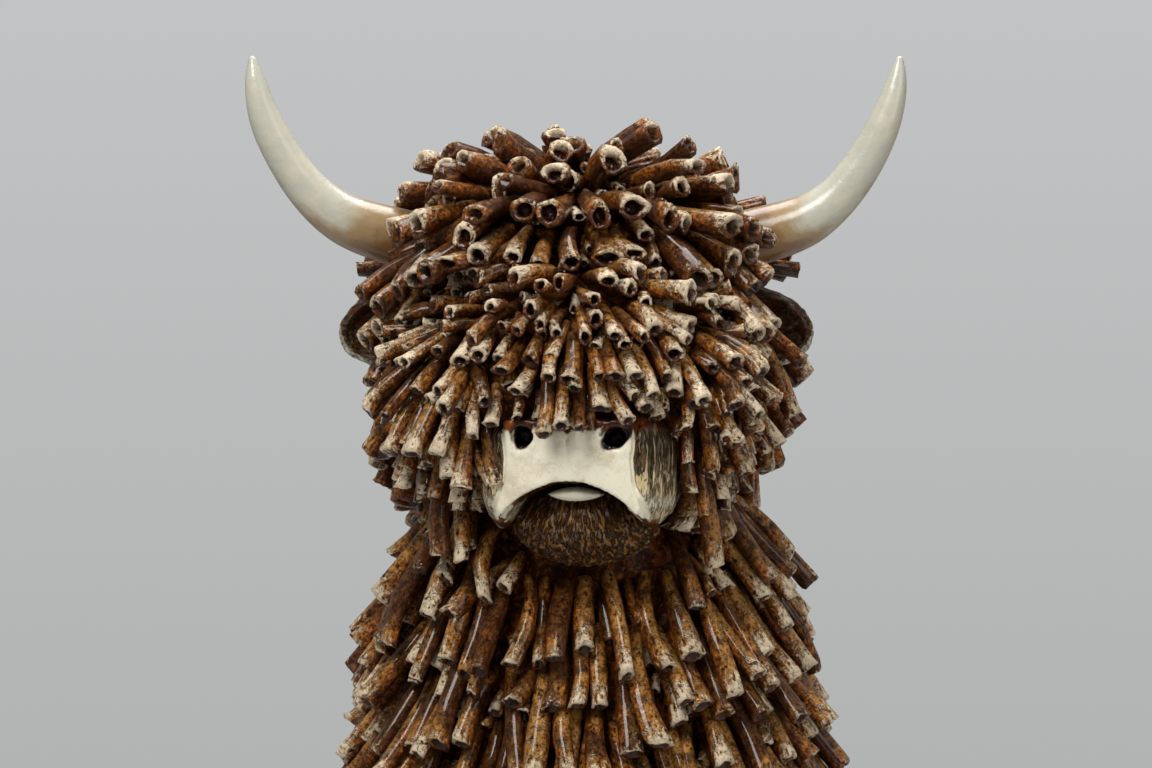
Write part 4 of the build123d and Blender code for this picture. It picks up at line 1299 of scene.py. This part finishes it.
@dataclass
class Studio:
    """The photograph's view, soft lamps and a plain pale floor that fades into the background."""

    frame_width: float = 288.0
    frame_height_middle: float = 156.5
    distance: float = 1500.0
    head_plane: float = -10.0
    sensor: float = 36.0
    lamps: tuple[Lamp, ...] = (
        Lamp("key", (-300, -650, 800), 420, 6.8),
        Lamp("fill", (620, -600, 380), 500, 1.7),
        Lamp("crown", (60, 200, 820), 500, 5.6),
    )
    sky: Colour = tint("eceae6")
    sky_strength: float = 0.285
    backdrop_top: Colour = tint("c4c6c7")
    backdrop_foot: Colour = tint("afb0b0")
    backdrop_blend: float = 0.12
    floor_colour: Colour = tint("bcbdbe")
    floor_radius: float = 420.0
    floor_sides: int = 96
    floor_fade: tuple[float, float] = (0.98, 0.45)

    def build(self) -> None:
        """Sets the camera, the lamps, the world and the floor."""
        scene = bpy.context.scene
        scene.view_settings.view_transform = "Standard"
        lens = bpy.data.cameras.new("photo_view")
        lens.sensor_width = self.sensor
        lens.lens = self.sensor * self.distance / self.frame_width
        lens.clip_end = 100.0
        camera = bpy.data.objects.new("photo_view", lens)
        camera.location = Vector((0.0, self.head_plane - self.distance, self.frame_height_middle)) * MM
        camera.rotation_euler = (math.radians(90), 0, 0)
        scene.collection.objects.link(camera)
        scene.camera = camera
        for lamp in self.lamps:
            self._light(lamp)
        self._world(scene)
        self._floor()

    def _light(self, lamp: Lamp) -> None:
        """Adds a lamp that looks at the head."""
        light = bpy.data.lights.new(lamp.name, "AREA")
        light.size = lamp.size * MM
        light.energy = lamp.power
        stand = bpy.data.objects.new(lamp.name, light)
        stand.location = Vector(lamp.place) * MM
        aim = Vector((0, 0, self.frame_height_middle)) * MM - stand.location
        stand.rotation_euler = aim.to_track_quat("-Z", "Y").to_euler()
        bpy.context.scene.collection.objects.link(stand)

    def _world(self, scene: bpy.types.Scene) -> None:
        """A grey backdrop for the camera, and soft light for the figurine."""
        world = bpy.data.worlds.new("studio")
        world.use_nodes = True
        world.node_tree.nodes.clear()
        graph = Graph(world.node_tree)
        height = graph.parts(graph.add("ShaderNodeTexCoord").outputs["Generated"])[2]
        rising = graph.ramp(height, -self.backdrop_blend, self.backdrop_blend)
        backdrop = graph.mix(rising, self.backdrop_foot, self.backdrop_top)
        seen = graph.add("ShaderNodeBackground", {"Color": backdrop, "Strength": 1.0})
        light = graph.add("ShaderNodeBackground", {"Color": self.sky, "Strength": self.sky_strength})
        path = graph.add("ShaderNodeLightPath")
        shown = graph.maths("MAXIMUM", path.outputs["Is Camera Ray"], path.outputs["Is Transmission Ray"])
        blend = graph.add("ShaderNodeMixShader", {0: shown, 1: light.outputs[0], 2: seen.outputs[0]})
        graph.add("ShaderNodeOutputWorld", {"Surface": blend.outputs[0]})
        scene.world = world

    def _floor(self) -> None:
        """A round floor whose edge fades away before it reaches the photograph's view."""
        clear_selection()
        radius = self.floor_radius
        bpy.ops.mesh.primitive_circle_add(vertices=self.floor_sides, radius=radius * MM, fill_type="NGON")
        floor = bpy.context.object
        floor.name = "floor"
        material = bpy.data.materials.new("floor")
        material.use_nodes = True
        graph = Graph(material.node_tree)
        shader = graph.tree.nodes["Principled BSDF"]
        x, y, _ = graph.parts(graph.place())
        reach = graph.maths("SQRT", graph.maths("ADD", graph.times(x, x), graph.times(y, y)))
        outer, inner = self.floor_fade
        graph.plug(shader, "Base Color", self.floor_colour)
        graph.plug(shader, "Roughness", 0.9)
        graph.plug(shader, "Alpha", graph.ramp(reach, radius * outer, radius * inner))
        floor.data.materials.append(material)


def main() -> None:
    """Builds every sub-assembly in order."""
    logging.basicConfig(level=logging.INFO, format="%(name)s %(message)s")
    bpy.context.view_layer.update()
    tones, effects = Palette(), Effects()
    haired = HairedClay(tones, "haired_clay", tones.haired, 0.15, 0.062, 1.7).build(effects)
    cheeks = HairedClay(tones, "muzzle_clay", tones.cheek, 0.75, 0.036, 1.3).build(effects)
    ears = HairedClay(tones, "ear_clay", tones.ear, 0.2, 0.026, 0.9).build(effects)
    roll_nodes = sorted(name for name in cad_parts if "_rolls" in name)
    RollCoat(RollGlaze(tones).build(effects)).build(roll_nodes)
    Muzzle(cheeks, haired).build()
    Ears(ears).build()
    Horns(HornIvory(tones).build(effects)).build()
    Feet(HoofHorn(tones).build(effects)).build()
    Cores(CoreGlazeAndShade(tones).build(effects)).build()
    steel = PlainFinish("dowel_steel", tones.steel, tones.tan, 1.0, 0.3, (0.6, 0.6, 0.05))
    felt = PlainFinish("base_felt", tones.felt, tones.soot, 0.0, 0.95, (1.2, 1.2, 1.2))
    repaint("neck_dowel", steel.build(effects))
    repaint("base_felt", felt.build(effects))
    Studio().build()


if __name__ == "__main__":
    main()
